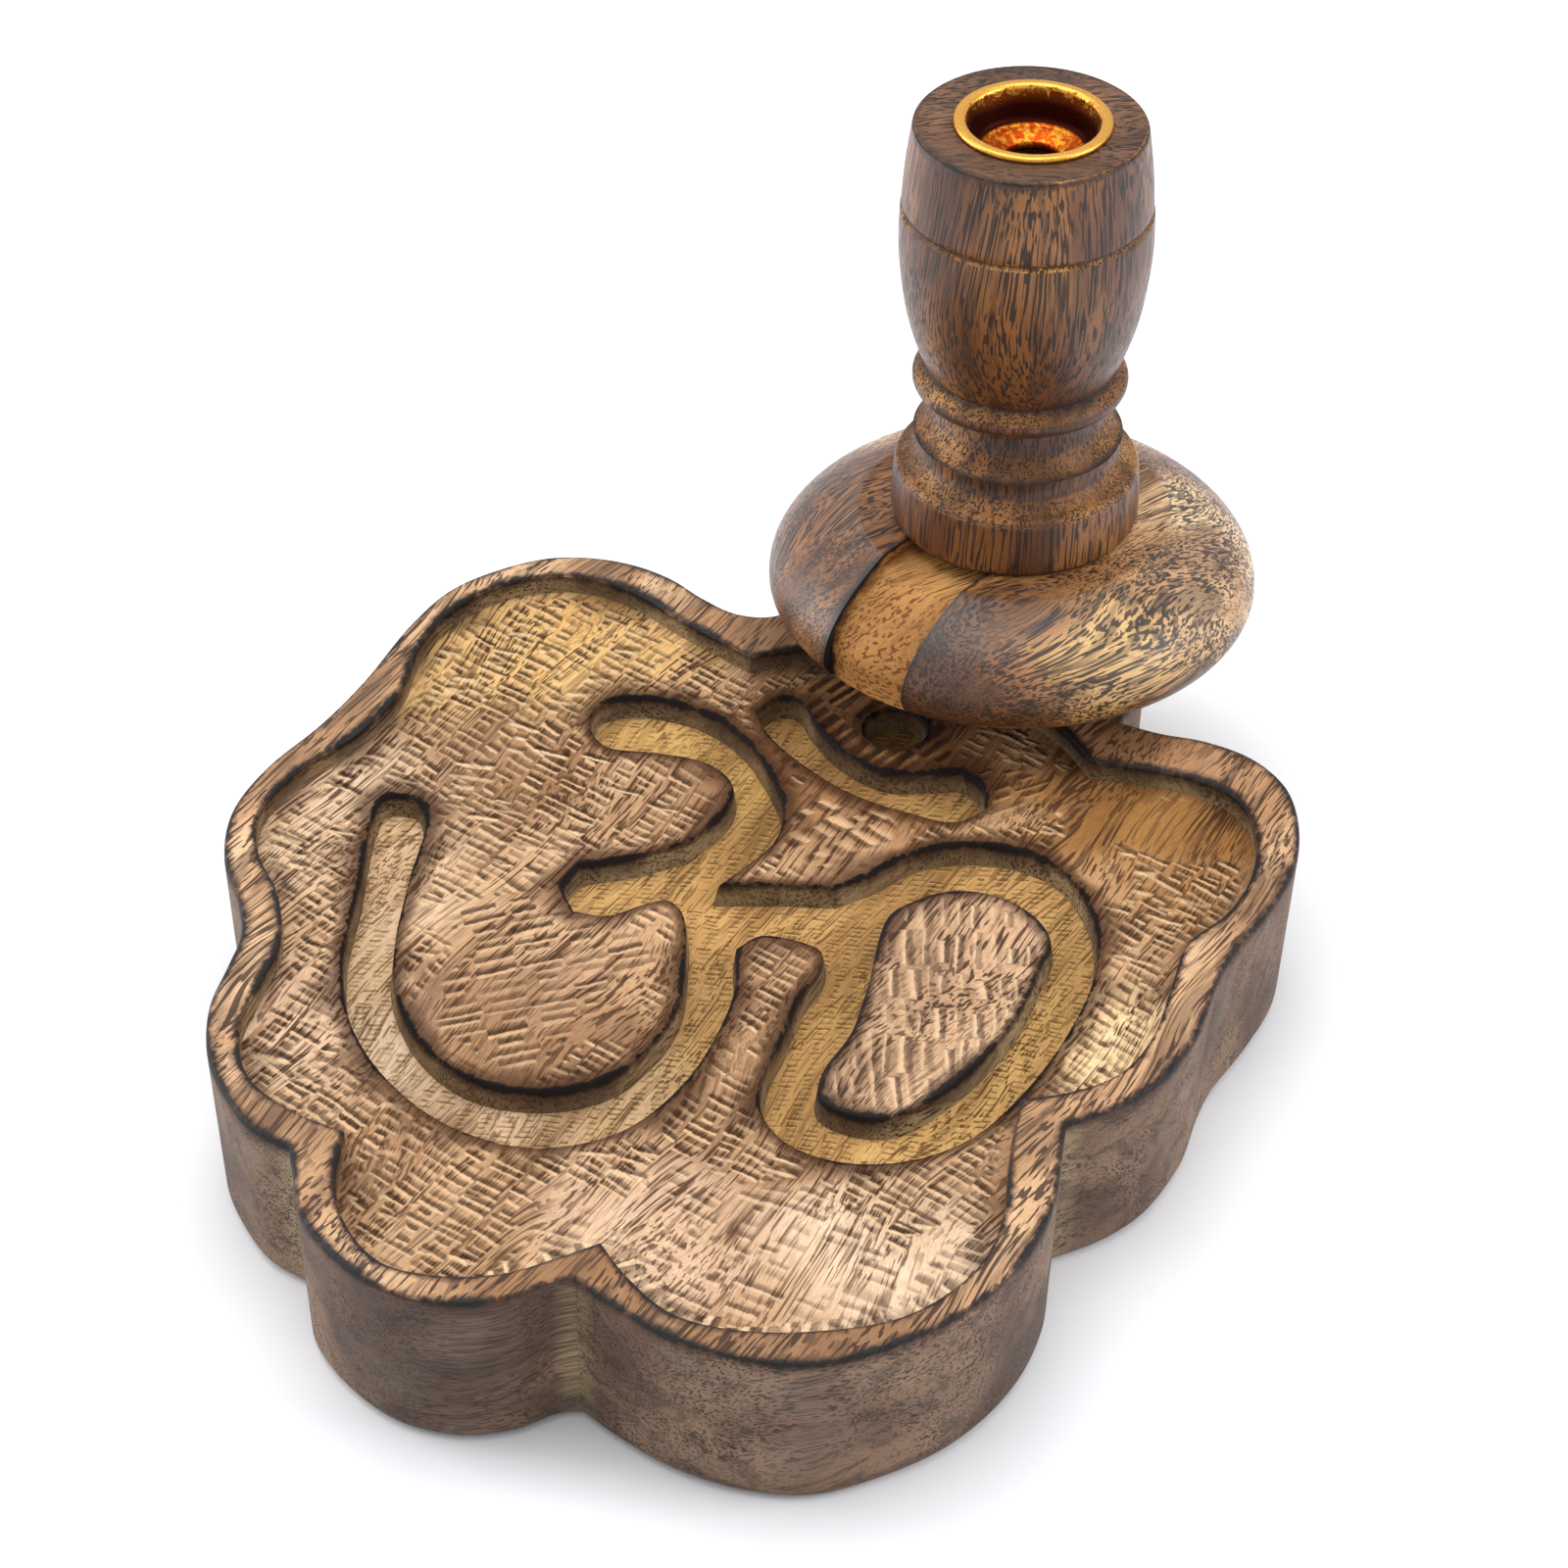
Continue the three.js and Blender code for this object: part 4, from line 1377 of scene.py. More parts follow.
class Tray:
    """The carved board: rim, sunk field, and the Om, crescent and dot cut below the field."""

    def __init__(self, sizes: TraySizes, bands: TrayBands = TrayBands()) -> None:
        """Keeps the sizes, and where the kinds of surface part."""
        self.sizes = sizes
        self.bands = bands

    def board(self) -> bpy.types.Object:
        """The board's outside, with softened arrises and a finely divided top."""
        top = self.sizes.top
        levels = [*level_rows(0, FOOT_ARRIS), Level(top / 2, 0.0), *level_rows(top, RIM_ARRIS)]
        board = prism("tray_carved", TRAY_EDGE, levels, self.sizes.lean)
        slab = fine_slab("top", TRAY_EDGE, top, self.sizes.slab_foot, self.sizes.rim_grid)
        carve(board, slab, Cut.KEEP_COMMON)
        return board

    def pocket(self) -> bpy.types.Object:
        """What is cut away down to the field, rounding the rim's inner arris."""
        top, floor = self.sizes.top, self.sizes.field
        levels = level_rows(floor, POCKET_FOOT) + level_rows(top, POCKET_ARRIS)
        pocket = prism("pocket", FIELD_EDGE, levels)
        slab = fine_slab("field_floor", FIELD_EDGE, floor, top + CLEAR_ABOVE, self.sizes.field_grid)
        roughen(slab, floor, self.sizes.field_waves)
        carve(pocket, slab, Cut.KEEP_COMMON)
        return pocket

    def groove_levels(self, side: int) -> list[Level]:
        """Rings of a groove's wall: sloping, and rounded where it meets the field.

        Args:
            side: 1 for what is cut away, or -1 for what stands inside it.
        """
        foot = level_rows(self.sizes.groove, GROOVE_FOOT, side)
        return foot + level_rows(self.sizes.field, GROOVE_ARRIS, side)

    def groove(self, outline: Outline, island: Outline | None = None) -> bpy.types.Object:
        """What one groove cuts away, less what stands inside it."""
        s = self.sizes
        cutter = prism("groove", outline, self.groove_levels(1))
        if island:
            carve(cutter, prism("island", island, self.groove_levels(-1)))
        slab = fine_slab("groove_floor", outline, s.groove, s.top + CLEAR_ABOVE, s.groove_grid)
        roughen(slab, s.groove, s.groove_waves)
        carve(cutter, slab, Cut.KEEP_COMMON)
        return cutter

    def screw_sink(self, offset: Point) -> bpy.types.Object:
        """A screw's hole and countersink, from below."""
        s = self.sizes
        section = np.array([
            (0, -1), (s.sink_radius, -1), (s.sink_radius, s.sink_depth - s.sink_slope),
            (s.screw_hole, s.sink_depth), (s.screw_hole, s.top + 1), (0, s.top + 1),
        ], float)
        return turned("sink", section, SCREW_STEPS, offset)

    def measure(self, tray: bpy.types.Object) -> None:
        """Keeps each vertex's distance to the burnt arrises and to its own surface's edges."""
        s = self.sizes
        places = vertex_places(tray)
        rims = [edge.trail(s.top) for edge in (TRAY_EDGE, FIELD_EDGE)]
        cuts = [edge.trail(s.field) for edge in (OM_EDGE, OM_ISLAND, CRESCENT_EDGE, DOT_EDGE)]
        feet = [edge.trail(s.groove) for edge in (OM_EDGE, OM_ISLAND, CRESCENT_EDGE, DOT_EDGE)]
        write_values(tray, "burn_distance", nearest(rims + cuts, places)[0])
        edge, _ = nearest([FIELD_EDGE.trail(s.field)] + cuts + feet, places)
        borders = [np.abs(zone_border(zone, places)) + ZONE_SHY for zone in ZONES]
        write_values(tray, "edge_distance", np.min([edge, *borders], axis=0))
        rim, along = nearest([FIELD_EDGE.trail(s.field)], places)
        write_values(tray, "rim_distance", rim)
        write_values(tray, "rim_along", along)
        corners = np.array([run[0] for run in TRAY_EDGE.runs]) + AXIS
        gaps = np.linalg.norm(places[:, None, :2] - corners, axis=2)
        write_values(tray, "cusp_distance", gaps.min(axis=1))

    def faces(self, tray: bpy.types.Object) -> np.ndarray:
        """Each face's kind of surface."""
        s, bands = self.sizes, self.bands
        middles, normals = face_facts(tray)
        outer, _ = nearest([TRAY_EDGE.trail(0.0)], middles * np.array([1, 1, 0]))
        height = middles[:, 2]
        level = np.abs(normals[:, 2])
        kinds = np.full(len(middles), TrayFace.FIELD.value)
        low = height < s.field - bands.groove_under_field
        kinds[low] = TrayFace.GROOVE.value
        kinds[height > s.top - bands.rim_under_top] = TrayFace.RIM.value
        island = OM_ISLAND.holds(middles[:, :2]) & ~low & (height < s.top - bands.island_under_top)
        kinds[island] = TrayFace.ISLAND.value
        outside = (outer < bands.side_reach) & (level < bands.side_level)
        outside &= height < s.top - bands.sides_under_top
        steep = (level < bands.wall_level) & ~outside & (height < s.top - bands.walls_under_top)
        steep &= (height > s.field) | (height < s.field - bands.walls_under_field)
        kinds[steep] = TrayFace.CUT_WALL.value
        kinds[outside | (normals[:, 2] < -bands.side_level)] = TrayFace.SIDE.value
        for zone in ZONES:
            kinds[(kinds == TrayFace.FIELD.value) & (zone_border(zone, middles) < 0)] = zone.value
        return kinds

    def tone(self, tray: bpy.types.Object, woods: Sequence[Timber]) -> None:
        """Keeps each vertex's tone: the rim's, the field's, the island's or the grooves'."""
        s, bands = self.sizes, self.bands
        places = vertex_places(tray)
        height = places[:, 2]
        wood = woods[TrayFace.FIELD.value]
        tones = blend_tones(places, wood.base, wood.patches)
        choices = (
            (TrayFace.ISLAND, OM_ISLAND.holds(places[:, :2])),
            (TrayFace.RIM, height > s.top - bands.rim_tone_under_top),
            (TrayFace.GROOVE, height < s.field - bands.groove_tone_under_field),
        )
        for kind, chosen in choices:
            wood = woods[kind.value]
            tones[chosen] = blend_tones(places[chosen], wood.base, wood.patches)
        write_tones(tray, tones)

    def build(self, shop: Workshop) -> bpy.types.Object:
        """Models, measures and dresses the tray."""
        tray = self.board()
        carve(tray, self.pocket())
        carve(tray, self.groove(OM_EDGE, OM_ISLAND))
        for outline in (CRESCENT_EDGE, DOT_EDGE):
            carve(tray, self.groove(outline))
        for offset in self.sizes.screw_places:
            carve(tray, self.screw_sink(offset))
        close_up(tray)
        self.measure(tray)
        woods = self.finishes()
        self.tone(tray, woods)
        dress(tray, [shop.timber(wood) for wood in woods], self.faces(tray))
        soften_shading(tray)
        return tray

    @staticmethod
    def finishes() -> list[Timber]:
        """The surfaces' finishes, in the order of TrayFace."""
        # The cut and lip colours below are painted shade and painted highlight; chip and stab swap them,
        # a lit pale cut face beside a shaded lip.
        ladder = Marks(column=4.3, pitch=1.65, length=4.4, width=0.8, slant=-0.22, keep=0.78, clear=1.6,
                       cut_shading_share=0.85, burr_shading_share=0.8)
        stray = Marks(column=6.4, pitch=2.5, length=5.0, width=1.0, slant=0.25, keep=0.46, turn=-7,
                      wander=8, clear=1.4, cut_shading_share=0.8, burr_shading_share=0.85, burr_shading_colour="efc99e")
        lobes = Marks(column=6.0, pitch=2.1, length=5.4, width=0.95, slant=-0.1, keep=0.75, turn=4,
                      wander=7, clear=1.6, cut_shading_share=0.65, burr_shading_share=0.55, burr_shading_colour="e6c29c",
                      depth=0.5)
        stub = Marks(column=4.6, pitch=2.6, length=4.6, width=1.5, slant=0.1, keep=1.2, wander=1.0,
                     clear=0.4, cut_shading_share=0.7, burr_shading_share=0.9, burr_shading_colour="f5d3ab", at_rim=True)
        sweep = Marks(column=5.8, pitch=2.0, length=6.0, width=0.95, slant=0.15, keep=1.15, turn=38,
                      wander=2, clear=1.2, cut_shading_share=0.85, burr_shading_share=0.8, burr_shading_colour="d6ad86")
        comb = Marks(column=9.0, pitch=2.1, length=10.0, width=1.3, slant=0.1, keep=1.2, turn=73,
                     wander=3, clear=0.6, cut_shading_share=0.95, burr_shading_share=0.8, cut_shading_colour="25170e",
                     burr_shading_colour="b98452")
        chip = Marks(column=4.2, pitch=3.0, length=4.2, width=1.5, slant=0.3, keep=1.1, turn=-32,
                     wander=3, clear=1.2, cut_shading_colour="dcb287", burr_shading_colour="35221a", cut_shading_share=0.85,
                     burr_shading_share=0.8)
        flick = Marks(column=6.0, pitch=1.9, length=5.6, width=0.8, slant=0.1, keep=0.95, turn=50,
                      wander=4, clear=1.2, burr_shading_colour="c9975f", burr_shading_share=0.75)
        stab = Marks(column=7.0, pitch=2.3, length=7.4, width=0.95, slant=0.1, keep=1.0, turn=112,
                     wander=3.0, clear=1.0, cut_shading_colour="e2bb94", burr_shading_colour="3c281b", cut_shading_share=0.85,
                     burr_shading_share=0.7)
        nick = Marks(column=2.6, pitch=1.0, length=2.0, width=0.36, slant=0.1, keep=0.85, turn=14,
                     wander=5.0, clear=0.5, cut_shading_colour="6b4418", burr_shading_colour="deb46e", cut_shading_share=0.7,
                     depth=0.6)
        tones = (
            Patch(Spot(-62, -78, 22), "deb994", 0.8), Patch(Spot(-66, -36, 16), "deb170", 0.8),
            Patch(Spot(-50, -26, 14), "d6a664", 0.8), Patch(Spot(-46, -56, 13), "86603f", 0.75),
            Patch(Spot(-22, -100, 14), "8e6749", 0.7), Patch(Spot(-20, -46, 14), "97704f", 0.7),
            # The dark patches at (-2, -32) and (31, -25), before and beside the bun, are darker wood
            # with the bun's shadow painted into them.
            Patch(Spot(-2, -32, 18), "8a5c34", 0.8), Patch(Spot(31, -25, 20), "94642f", 0.9),
            Patch(Spot(5, -82, 9), "b98f6a", 0.7), Patch(Spot(16, -108, 12), "a37d5c", 0.6),
            Patch(Spot(44, -120, 16), "ecc9a8", 0.85), Patch(Spot(16, -130, 14), "dfb999", 0.7),
            Patch(Spot(50, -74, 12), "eec793", 0.9), Patch(Spot(-46, -114, 16), "dcb695", 0.7),
        )
        rims = (
            Patch(Spot(41, -137, 24), "7c5230", 0.85), Patch(Spot(12, -139, 16), "82562f", 0.8),
            Patch(Spot(-30, -16, 14), "a97a52", 0.85), Patch(Spot(34, -12, 22), "a07048", 0.85),
        )
        floors = (
            Patch(Spot(-53, -80, 17), "dcb48c", 0.9, 0.9),
            Patch(Spot(-26, -114, 22), "dabb9c", 0.85, 0.9),
            Patch(Spot(-24, -42, 10), "cda25c", 0.8),
        )
        field = Timber("tray_field_wood", ALONG_TRAY, "ba916b", "d6b08a", "5a3b27", figure=0.5,
                       streaks=0.8, pores=0.95, roughness=0.75, dust=0.03, shine=0.1,
                       burn=Burn(0.65, 4.2), fineness=1.3, marks=(ladder, stray), patches=tones,
                       toned=True)
        return [
            Timber("tray_rim_wood", ALONG_TRAY, "bd9067", "deb58c", "442c1c", streaks=0.7, pores=1.0,
                   roughness=0.45, coat=0.05, dust=0.03, burn=Burn(0.75, 1.3), fineness=1.1,
                   patches=rims, toned=True),
            field,
            Timber("tray_island_wood", ALONG_TRAY, "c89f7a", "e0bb95", "482e1e", figure=0.7,
                   streaks=0.6, pores=1.15, roughness=0.6, dust=0.03, shine=0.2, burn=Burn(0.75, 2.2),
                   fineness=1.3, marks=(stab,)),
            Timber("tray_groove_wood", ALONG_TRAY, "b88b53", "d4a767", "6b4620", figure=0.8,
                   streaks=0.5, pores=0.75, roughness=0.65, dust=0.03, shine=0.2, burn=Burn(0.4, 1.0),
                   marks=(nick,), relief=0.45, fineness=1.3, patches=floors, toned=True),
            Timber("tray_side_wood", Vector((0.9, 0.6, 0.12)), "6f5443", "92755c", "3a2a21", figure=1.0,
                   streaks=0.7, pores=0.8, roughness=0.5, coat=0.05, dust=0.25, burn=Burn(0.8, 1.8),
                   swirl=0.7, fineness=1.8, relief=0.5, cusps="a08a68"),
            Timber("tray_cut_wood", ALONG_TRAY, "8a7150", "b09a76", "4a3524", figure=0.6, streaks=0.6,
                   pores=0.8, shine=0.2, roughness=0.7, dust=0.25, burn=Burn(1.0, 2.6), relief=0.7,
                   fineness=1.4),
            replace(field, name="tray_belly_wood", marks=(sweep,)),
            replace(field, name="tray_front_wood", figure=0.3, pores=0.8, marks=(lobes, stub)),
            replace(field, name="tray_behind_wood", marks=(comb,)),
            replace(field, name="tray_below_wood", marks=(chip,)),
            replace(field, name="tray_beside_wood", marks=(flick,)),
            replace(field, name="tray_smooth_wood", marks=(), streaks=1.0, pores=1.0),
        ]


# ---- the bun ----


@dataclass(frozen=True)
class BunSizes:
    """The bun's sizes in millimetres."""

    foot: float
    seat: float
    radius: float = 32.8
    equator: float = 32.7
    crown: float = 13.6
    belly: float = 9.7
    heading: float = -102.0
    chute_width: float = 13.0
    chute_depth: float = 1.9
    arc_steps: int = 26
    lane_steps: int = 8
    steps: int = 220


class Bun:
    """The flattened turned ball, with the chute cut down its front."""

    ROUNDNESS = 1.3  # makes a share of the way in a depth
    BURN_REACH = 0.05  # past the lane's edge
    DOWN_SHARE = 0.8  # how much a depth counts in the distance to the burnt edge
    LANE_REACH = 0.02  # past the lane's edge, for a face of the chute
    LEAST_DEPTH = 0.25
    SEAT_LEVEL = 0.95  # how level a face of the seat lies
    SEAT_REACH = 0.1

    def __init__(self, sizes: BunSizes) -> None:
        """Keeps the sizes."""
        self.sizes = sizes

    def section(self, inset: float, foot: float, seat: float) -> np.ndarray:
        """Half of the bun's section, drawn in by an inset, between two flat heights."""
        s = self.sizes
        low = math.asin((foot - s.equator) / (s.belly - inset))
        high = math.asin((seat - s.equator) / (s.crown - inset))
        angles = np.concatenate([
            np.linspace(low, 0, s.arc_steps, endpoint=False), np.linspace(0, high, s.arc_steps + 1)
        ])
        half = np.where(angles < 0, s.belly - inset, s.crown - inset)
        arc = np.column_stack([(s.radius - inset) * np.cos(angles), s.equator + half * np.sin(angles)])
        return np.vstack([(0, foot), arc, (0, seat)])

    def lane(self) -> Outline:
        """The chute's plan: a lane with a round end at the axis."""
        s = self.sizes
        turn = math.radians(s.heading)
        half, reach = s.chute_width / 2, s.radius + 2

        def place(along: float, across: float) -> Point:
            """Plan place of a point of the lane."""
            return (along * math.cos(turn) - across * math.sin(turn),
                    along * math.sin(turn) + across * math.cos(turn))

        half_turn = [FULL_TURN * (0.25 + i / (2 * s.lane_steps)) for i in range(s.lane_steps + 1)]
        cap = tuple(place(half * math.cos(a), half * math.sin(a)) for a in half_turn)
        right, left = place(reach, -half), place(reach, half)
        return Outline((cap, (cap[-1], right), (right, left), (left, cap[0])))

    def chute(self) -> bpy.types.Object:
        """What the chute cuts away: the lane less a smaller bun, straight down past its side."""
        s = self.sizes
        cutter = prism("chute", self.lane(), [Level(s.foot - 1), Level(s.seat + 2)])
        core = self.section(s.chute_depth, s.equator, s.seat - s.chute_depth)
        carve(cutter, turned("core", core, s.steps))
        inner = s.radius - s.chute_depth
        foot = s.foot - 2
        drop = np.array([(0, foot), (inner, foot), (inner, s.equator), (0, s.equator)], float)
        carve(cutter, turned("drop", drop, s.steps))
        return cutter

    def lane_distance(self, places: np.ndarray) -> np.ndarray:
        """Plan distance from each place to the lane's edge, negative inside the lane."""
        s = self.sizes
        turn = math.radians(s.heading)
        flat = places[:, :2] - AXIS
        along = flat @ np.array([math.cos(turn), math.sin(turn)])
        across = np.abs(flat @ np.array([-math.sin(turn), math.cos(turn)]))
        away = np.where(along > 0, across, np.hypot(across, along))
        return away - s.chute_width / 2

    def depth(self, places: np.ndarray) -> np.ndarray:
        """How far each place lies inside the uncut bun, near enough, in millimetres."""
        s = self.sizes
        radius = np.hypot(*(places[:, :2] - AXIS).T)
        rise = places[:, 2] - s.equator
        half = np.where(rise < 0, s.belly, s.crown)
        size = np.hypot(radius / s.radius, rise / half)
        return np.minimum((1 - size) * half * self.ROUNDNESS, s.seat - places[:, 2])

    def build(self, shop: Workshop) -> bpy.types.Object:
        """Models, measures and dresses the bun."""
        s = self.sizes
        bun = turned("bun_turned", self.section(0.0, s.foot, s.seat), s.steps)
        carve(bun, self.chute())
        close_up(bun)
        places = vertex_places(bun)
        away = self.lane_distance(places)
        below = np.where(away < self.BURN_REACH, np.maximum(self.depth(places), 0), 0)
        write_values(bun, "burn_distance", np.hypot(away, below * self.DOWN_SHARE))
        middles, normals = face_facts(bun)
        inside = self.lane_distance(middles) < self.LANE_REACH
        inside &= self.depth(middles) > self.LEAST_DEPTH
        seat = (normals[:, 2] > self.SEAT_LEVEL) & (middles[:, 2] > s.seat - self.SEAT_REACH)
        choice = np.where(inside, 1, np.where(seat, 2, 0))
        woods = self.finishes()
        write_tones(bun, blend_tones(places, woods[0].base, woods[0].patches))
        dress(bun, [shop.timber(wood) for wood in woods], choice)
        soften_shading(bun)
        return bun

    @staticmethod
    def finishes() -> list[Timber]:
        """The finishes of the turned surface, the chute and the seat."""
        across = Vector((-0.5, -0.86, -0.12))
        tones = (
            Patch(Spot(-26, -12, 18), "744524", 0.8), Patch(Spot(24, -20, 12), "c2925a", 0.6),
            # The dark patch at (0, -33) on the bun's low front is painted shade under its bulge.
            Patch(Spot(27, 8, 13), "d0a273", 0.8), Patch(Spot(0, -33, 9), "7a4926", 0.8),
            Patch(Spot(14, -30, 6), "8a5028", 0.7),
        )
        return [
            Timber("bun_turned_wood", across, "a36a38", "d6a160", "2a150a", figure=1.1, streaks=1.0,
                   pores=1.35, swirl=1.2, roughness=0.32, coat=0.45, shine=0.5, dust=0.05,
                   burn=Burn(0.5, 1.4), fineness=1.5, patches=tones, toned=True),
            Timber("bun_chute_wood", across, "b98446", "d8aa68", "70361a", figure=0.7, streaks=0.3,
                   pores=0.85, roughness=0.6, dust=0.05, burn=Burn(0.5, 1.2), relief=0.4, fineness=1.2),
            Timber("bun_seat_wood", across, "a36a38", "c8935a", "2a150a", figure=0.9, streaks=0.8,
                   pores=1.2, swirl=1.2, roughness=0.45, coat=0.1, dust=0.1, burn=Burn(0.4, 1.0),
                   fineness=1.5, toned=True),
        ]


# ---- the stem ----


@dataclass(frozen=True)
class StemSizes:
    """The stem's sizes in millimetres, and its outside as runs that meet in crisp edges."""

    foot: float
    top: float
    bore: float = 4.1
    socket_radius: float = 9.7
    socket_depth: float = 6.4
    steps: int = 160
    curve_steps: int = 6

    def runs(self) -> list[Run]:
        """The outside's runs of radius and height, from the foot up."""
        foot, top = self.foot, self.top
        return [
            ((16.0, foot), (16.4, foot + 0.7), (16.5, 47.5), (16.3, 51)),
            ((16.3, 51), (15.9, 51.7), (14.7, 52.2), (13.6, 53.2), (13.2, 54.4), (13.2, 55.9)),
            ((13.2, 55.9), (13.9, 56.3)),
            ((13.9, 56.3), (12.6, 57.2), (11.4, 58.8), (10.7, 61), (10.7, 62.6)),
            ((10.7, 62.6), (12.6, 63), (13.8, 63.5), (14.2, 64.3), (14.1, 65.2), (12.5, 66.8)),
            ((12.5, 66.8), (13.7, 69.5), (15.2, 74.5), (16.1, 80), (16.5, 85), (16.4, 90)),
            ((16.4, 90), (16.05, 90.6)),
            ((16.05, 90.6), (16.25, 91.2)),
            ((16.25, 91.2), (15.9, 96), (15.2, 101.4)),
            ((15.2, 101.4), (15.05, 101.9), (14.7, top)),
        ]

    def burnt_rings(self) -> list[tuple[float, float, float]]:
        """Radius, height and faintness of each burnt ring."""
        return [
            (13.9, 56.2, 0.0), (16.05, 90.6, 0.42), (12.4, 66.6, 0.1), (14.2, 64.0, 0.3),
            (15.1, self.top - 0.3, 0.1), (16.2, self.foot, 0.2),
        ]


class Stem:
    """Collar, cove, bead and barrel in one turned piece, bored right through."""

    TOP_LEVEL = 0.9  # how level a face of the top lies
    TOP_REACH = 0.3
    SLOPE_LEVEL = 0.45

    def __init__(self, sizes: StemSizes) -> None:
        """Keeps the sizes."""
        self.sizes = sizes

    def section(self) -> np.ndarray:
        """The half section: up the outside, into the socket and down the bore."""
        s = self.sizes
        outside = [smooth_run(run, s.curve_steps) for run in s.runs()]
        socket = s.top - s.socket_depth
        inside = np.array([
            (14.7, s.top), (12.4, s.top), (s.socket_radius + 0.3, s.top), (s.socket_radius, s.top - 0.3),
            (s.socket_radius, socket), (s.bore, socket), (s.bore, s.foot),
        ])
        return np.vstack([*outside, inside])

    def build(self, shop: Workshop) -> bpy.types.Object:
        """Models, measures and dresses the stem."""
        s = self.sizes
        stem = turned("stem_turned", self.section(), s.steps)
        places = vertex_places(stem)
        radius = np.hypot(*(places[:, :2] - AXIS).T)
        gaps = [np.hypot(radius - r, places[:, 2] - z) + shy for r, z, shy in s.burnt_rings()]
        write_values(stem, "burn_distance", np.min(gaps, axis=0))
        middles, normals = face_facts(stem)
        top = (normals[:, 2] > self.TOP_LEVEL) & (middles[:, 2] > s.top - self.TOP_REACH)
        sloping = (np.abs(normals[:, 2]) > self.SLOPE_LEVEL) & ~top
        choice = np.where(top, 1, np.where(sloping, 2, 0))
        dress(stem, [shop.timber(wood) for wood in self.finishes()], choice)
        soften_shading(stem)
        return stem

    @staticmethod
    def finishes() -> list[Timber]:
        """The finishes of the stem's sides, its top and its sloping faces."""
        upright = Vector((0.03, 0.02, 1.0))
        return [
            Timber("stem_side_wood", upright, "6a3b18", "9c6630", "22110a", figure=0.9, streaks=0.6,
                   pores=1.25, roughness=0.33, coat=0.35, dust=0.0, shine=0.4, burn=Burn(0.3, 1.0),
                   fineness=1.5, swirl=0.5),
            Timber("stem_top_wood", Vector((0.8, 0.6, 0.25)), "5e3c24", "7a5234", "28160d", streaks=0.6,
                   pores=1.1, roughness=0.42, coat=0.15, dust=0.1, burn=Burn(0.35, 1.0), fineness=1.4),
            Timber("stem_slope_wood", upright, "8c5a2c", "b68244", "38200f", streaks=0.6, pores=1.1,
                   roughness=0.42, coat=0.1, dust=0.02, burn=Burn(0.35, 1.0), relief=0.2, fineness=1.8,
                   swirl=0.5),
        ]


# ---- the cup and the screws ----


@dataclass(frozen=True)
class CupSizes:
    """The brass cup's half section in millimetres."""

    top: float
    offset: Point = (0.3, 0.0)
    steps: int = 128
    curve_steps: int = 4

    def section(self) -> np.ndarray:
        """The closed half section: bowl, step, floor, hole, and back up the outside to the flange."""
        top = self.top
        runs = [
            ((9.7, top), (9.0, top - 0.02), (8.65, top - 0.25), (8.45, top - 0.9)),
            ((8.45, top - 0.9), (7.9, top - 2.6), (7.5, top - 4.1)),
            ((7.5, top - 4.1), (7.25, top - 4.45), (6.9, top - 4.5), (6.6, top - 4.75)),
            ((6.6, top - 4.75), (5.4, top - 5.0), (4.3, top - 5.4)),
            ((4.3, top - 5.4), (3.85, top - 5.65), (3.7, top - 6.0)),
            ((3.7, top - 6.0), (3.7, top - 6.4)),
            ((3.7, top - 6.4), (7.3, top - 5.8)),
            ((7.3, top - 5.8), (8.2, top - 4.8), (9.1, top - 1.4)),
            ((9.1, top - 1.4), (9.1, top - 0.7)),
            ((9.1, top - 0.7), (10.1, top - 0.7)),
            ((10.1, top - 0.7), (10.2, top - 0.6), (10.2, top - 0.35), (10.05, top - 0.08), (9.7, top)),
        ]
        rows = np.vstack([smooth_run(run, self.curve_steps) for run in runs])
        rows[:, 1] = np.minimum(rows[:, 1], top)
        return rows


class Cup:
    """The brass cone cup that is let into the stem's top."""

    def __init__(self, sizes: CupSizes) -> None:
        """Keeps the sizes."""
        self.sizes = sizes

    def build(self, shop: Workshop) -> bpy.types.Object:
        """Models and dresses the cup."""
        s = self.sizes
        cup = turned("cup_spun", s.section(), s.steps, s.offset)
        cup.data.materials.append(shop.brass("cup_brass", s.top, s.offset))
        soften_shading(cup)
        return cup


@dataclass(frozen=True)
class ScrewSizes:
    """A countersunk wood screw's sizes in millimetres."""

    radius: float = 2.0
    head_radius: float = 4.0
    head_height: float = 2.4
    sink: float = 0.5
    tip: float = 54.0
    recess_length: float = 4.4
    recess_width: float = 0.9
    recess_depth: float = 1.3
    thread_pitch: float = 1.8
    thread_depth: float = 0.55
    thread_start: float = 22.0
    rib_foot: float = 0.35
    rib_share: float = 0.6
    head_round: float = 0.15
    ribless: float = 5.0
    point: float = 4.6
    recess_turns: tuple[float, ...] = (20.0, 110.0)
    steps: int = SCREW_STEPS


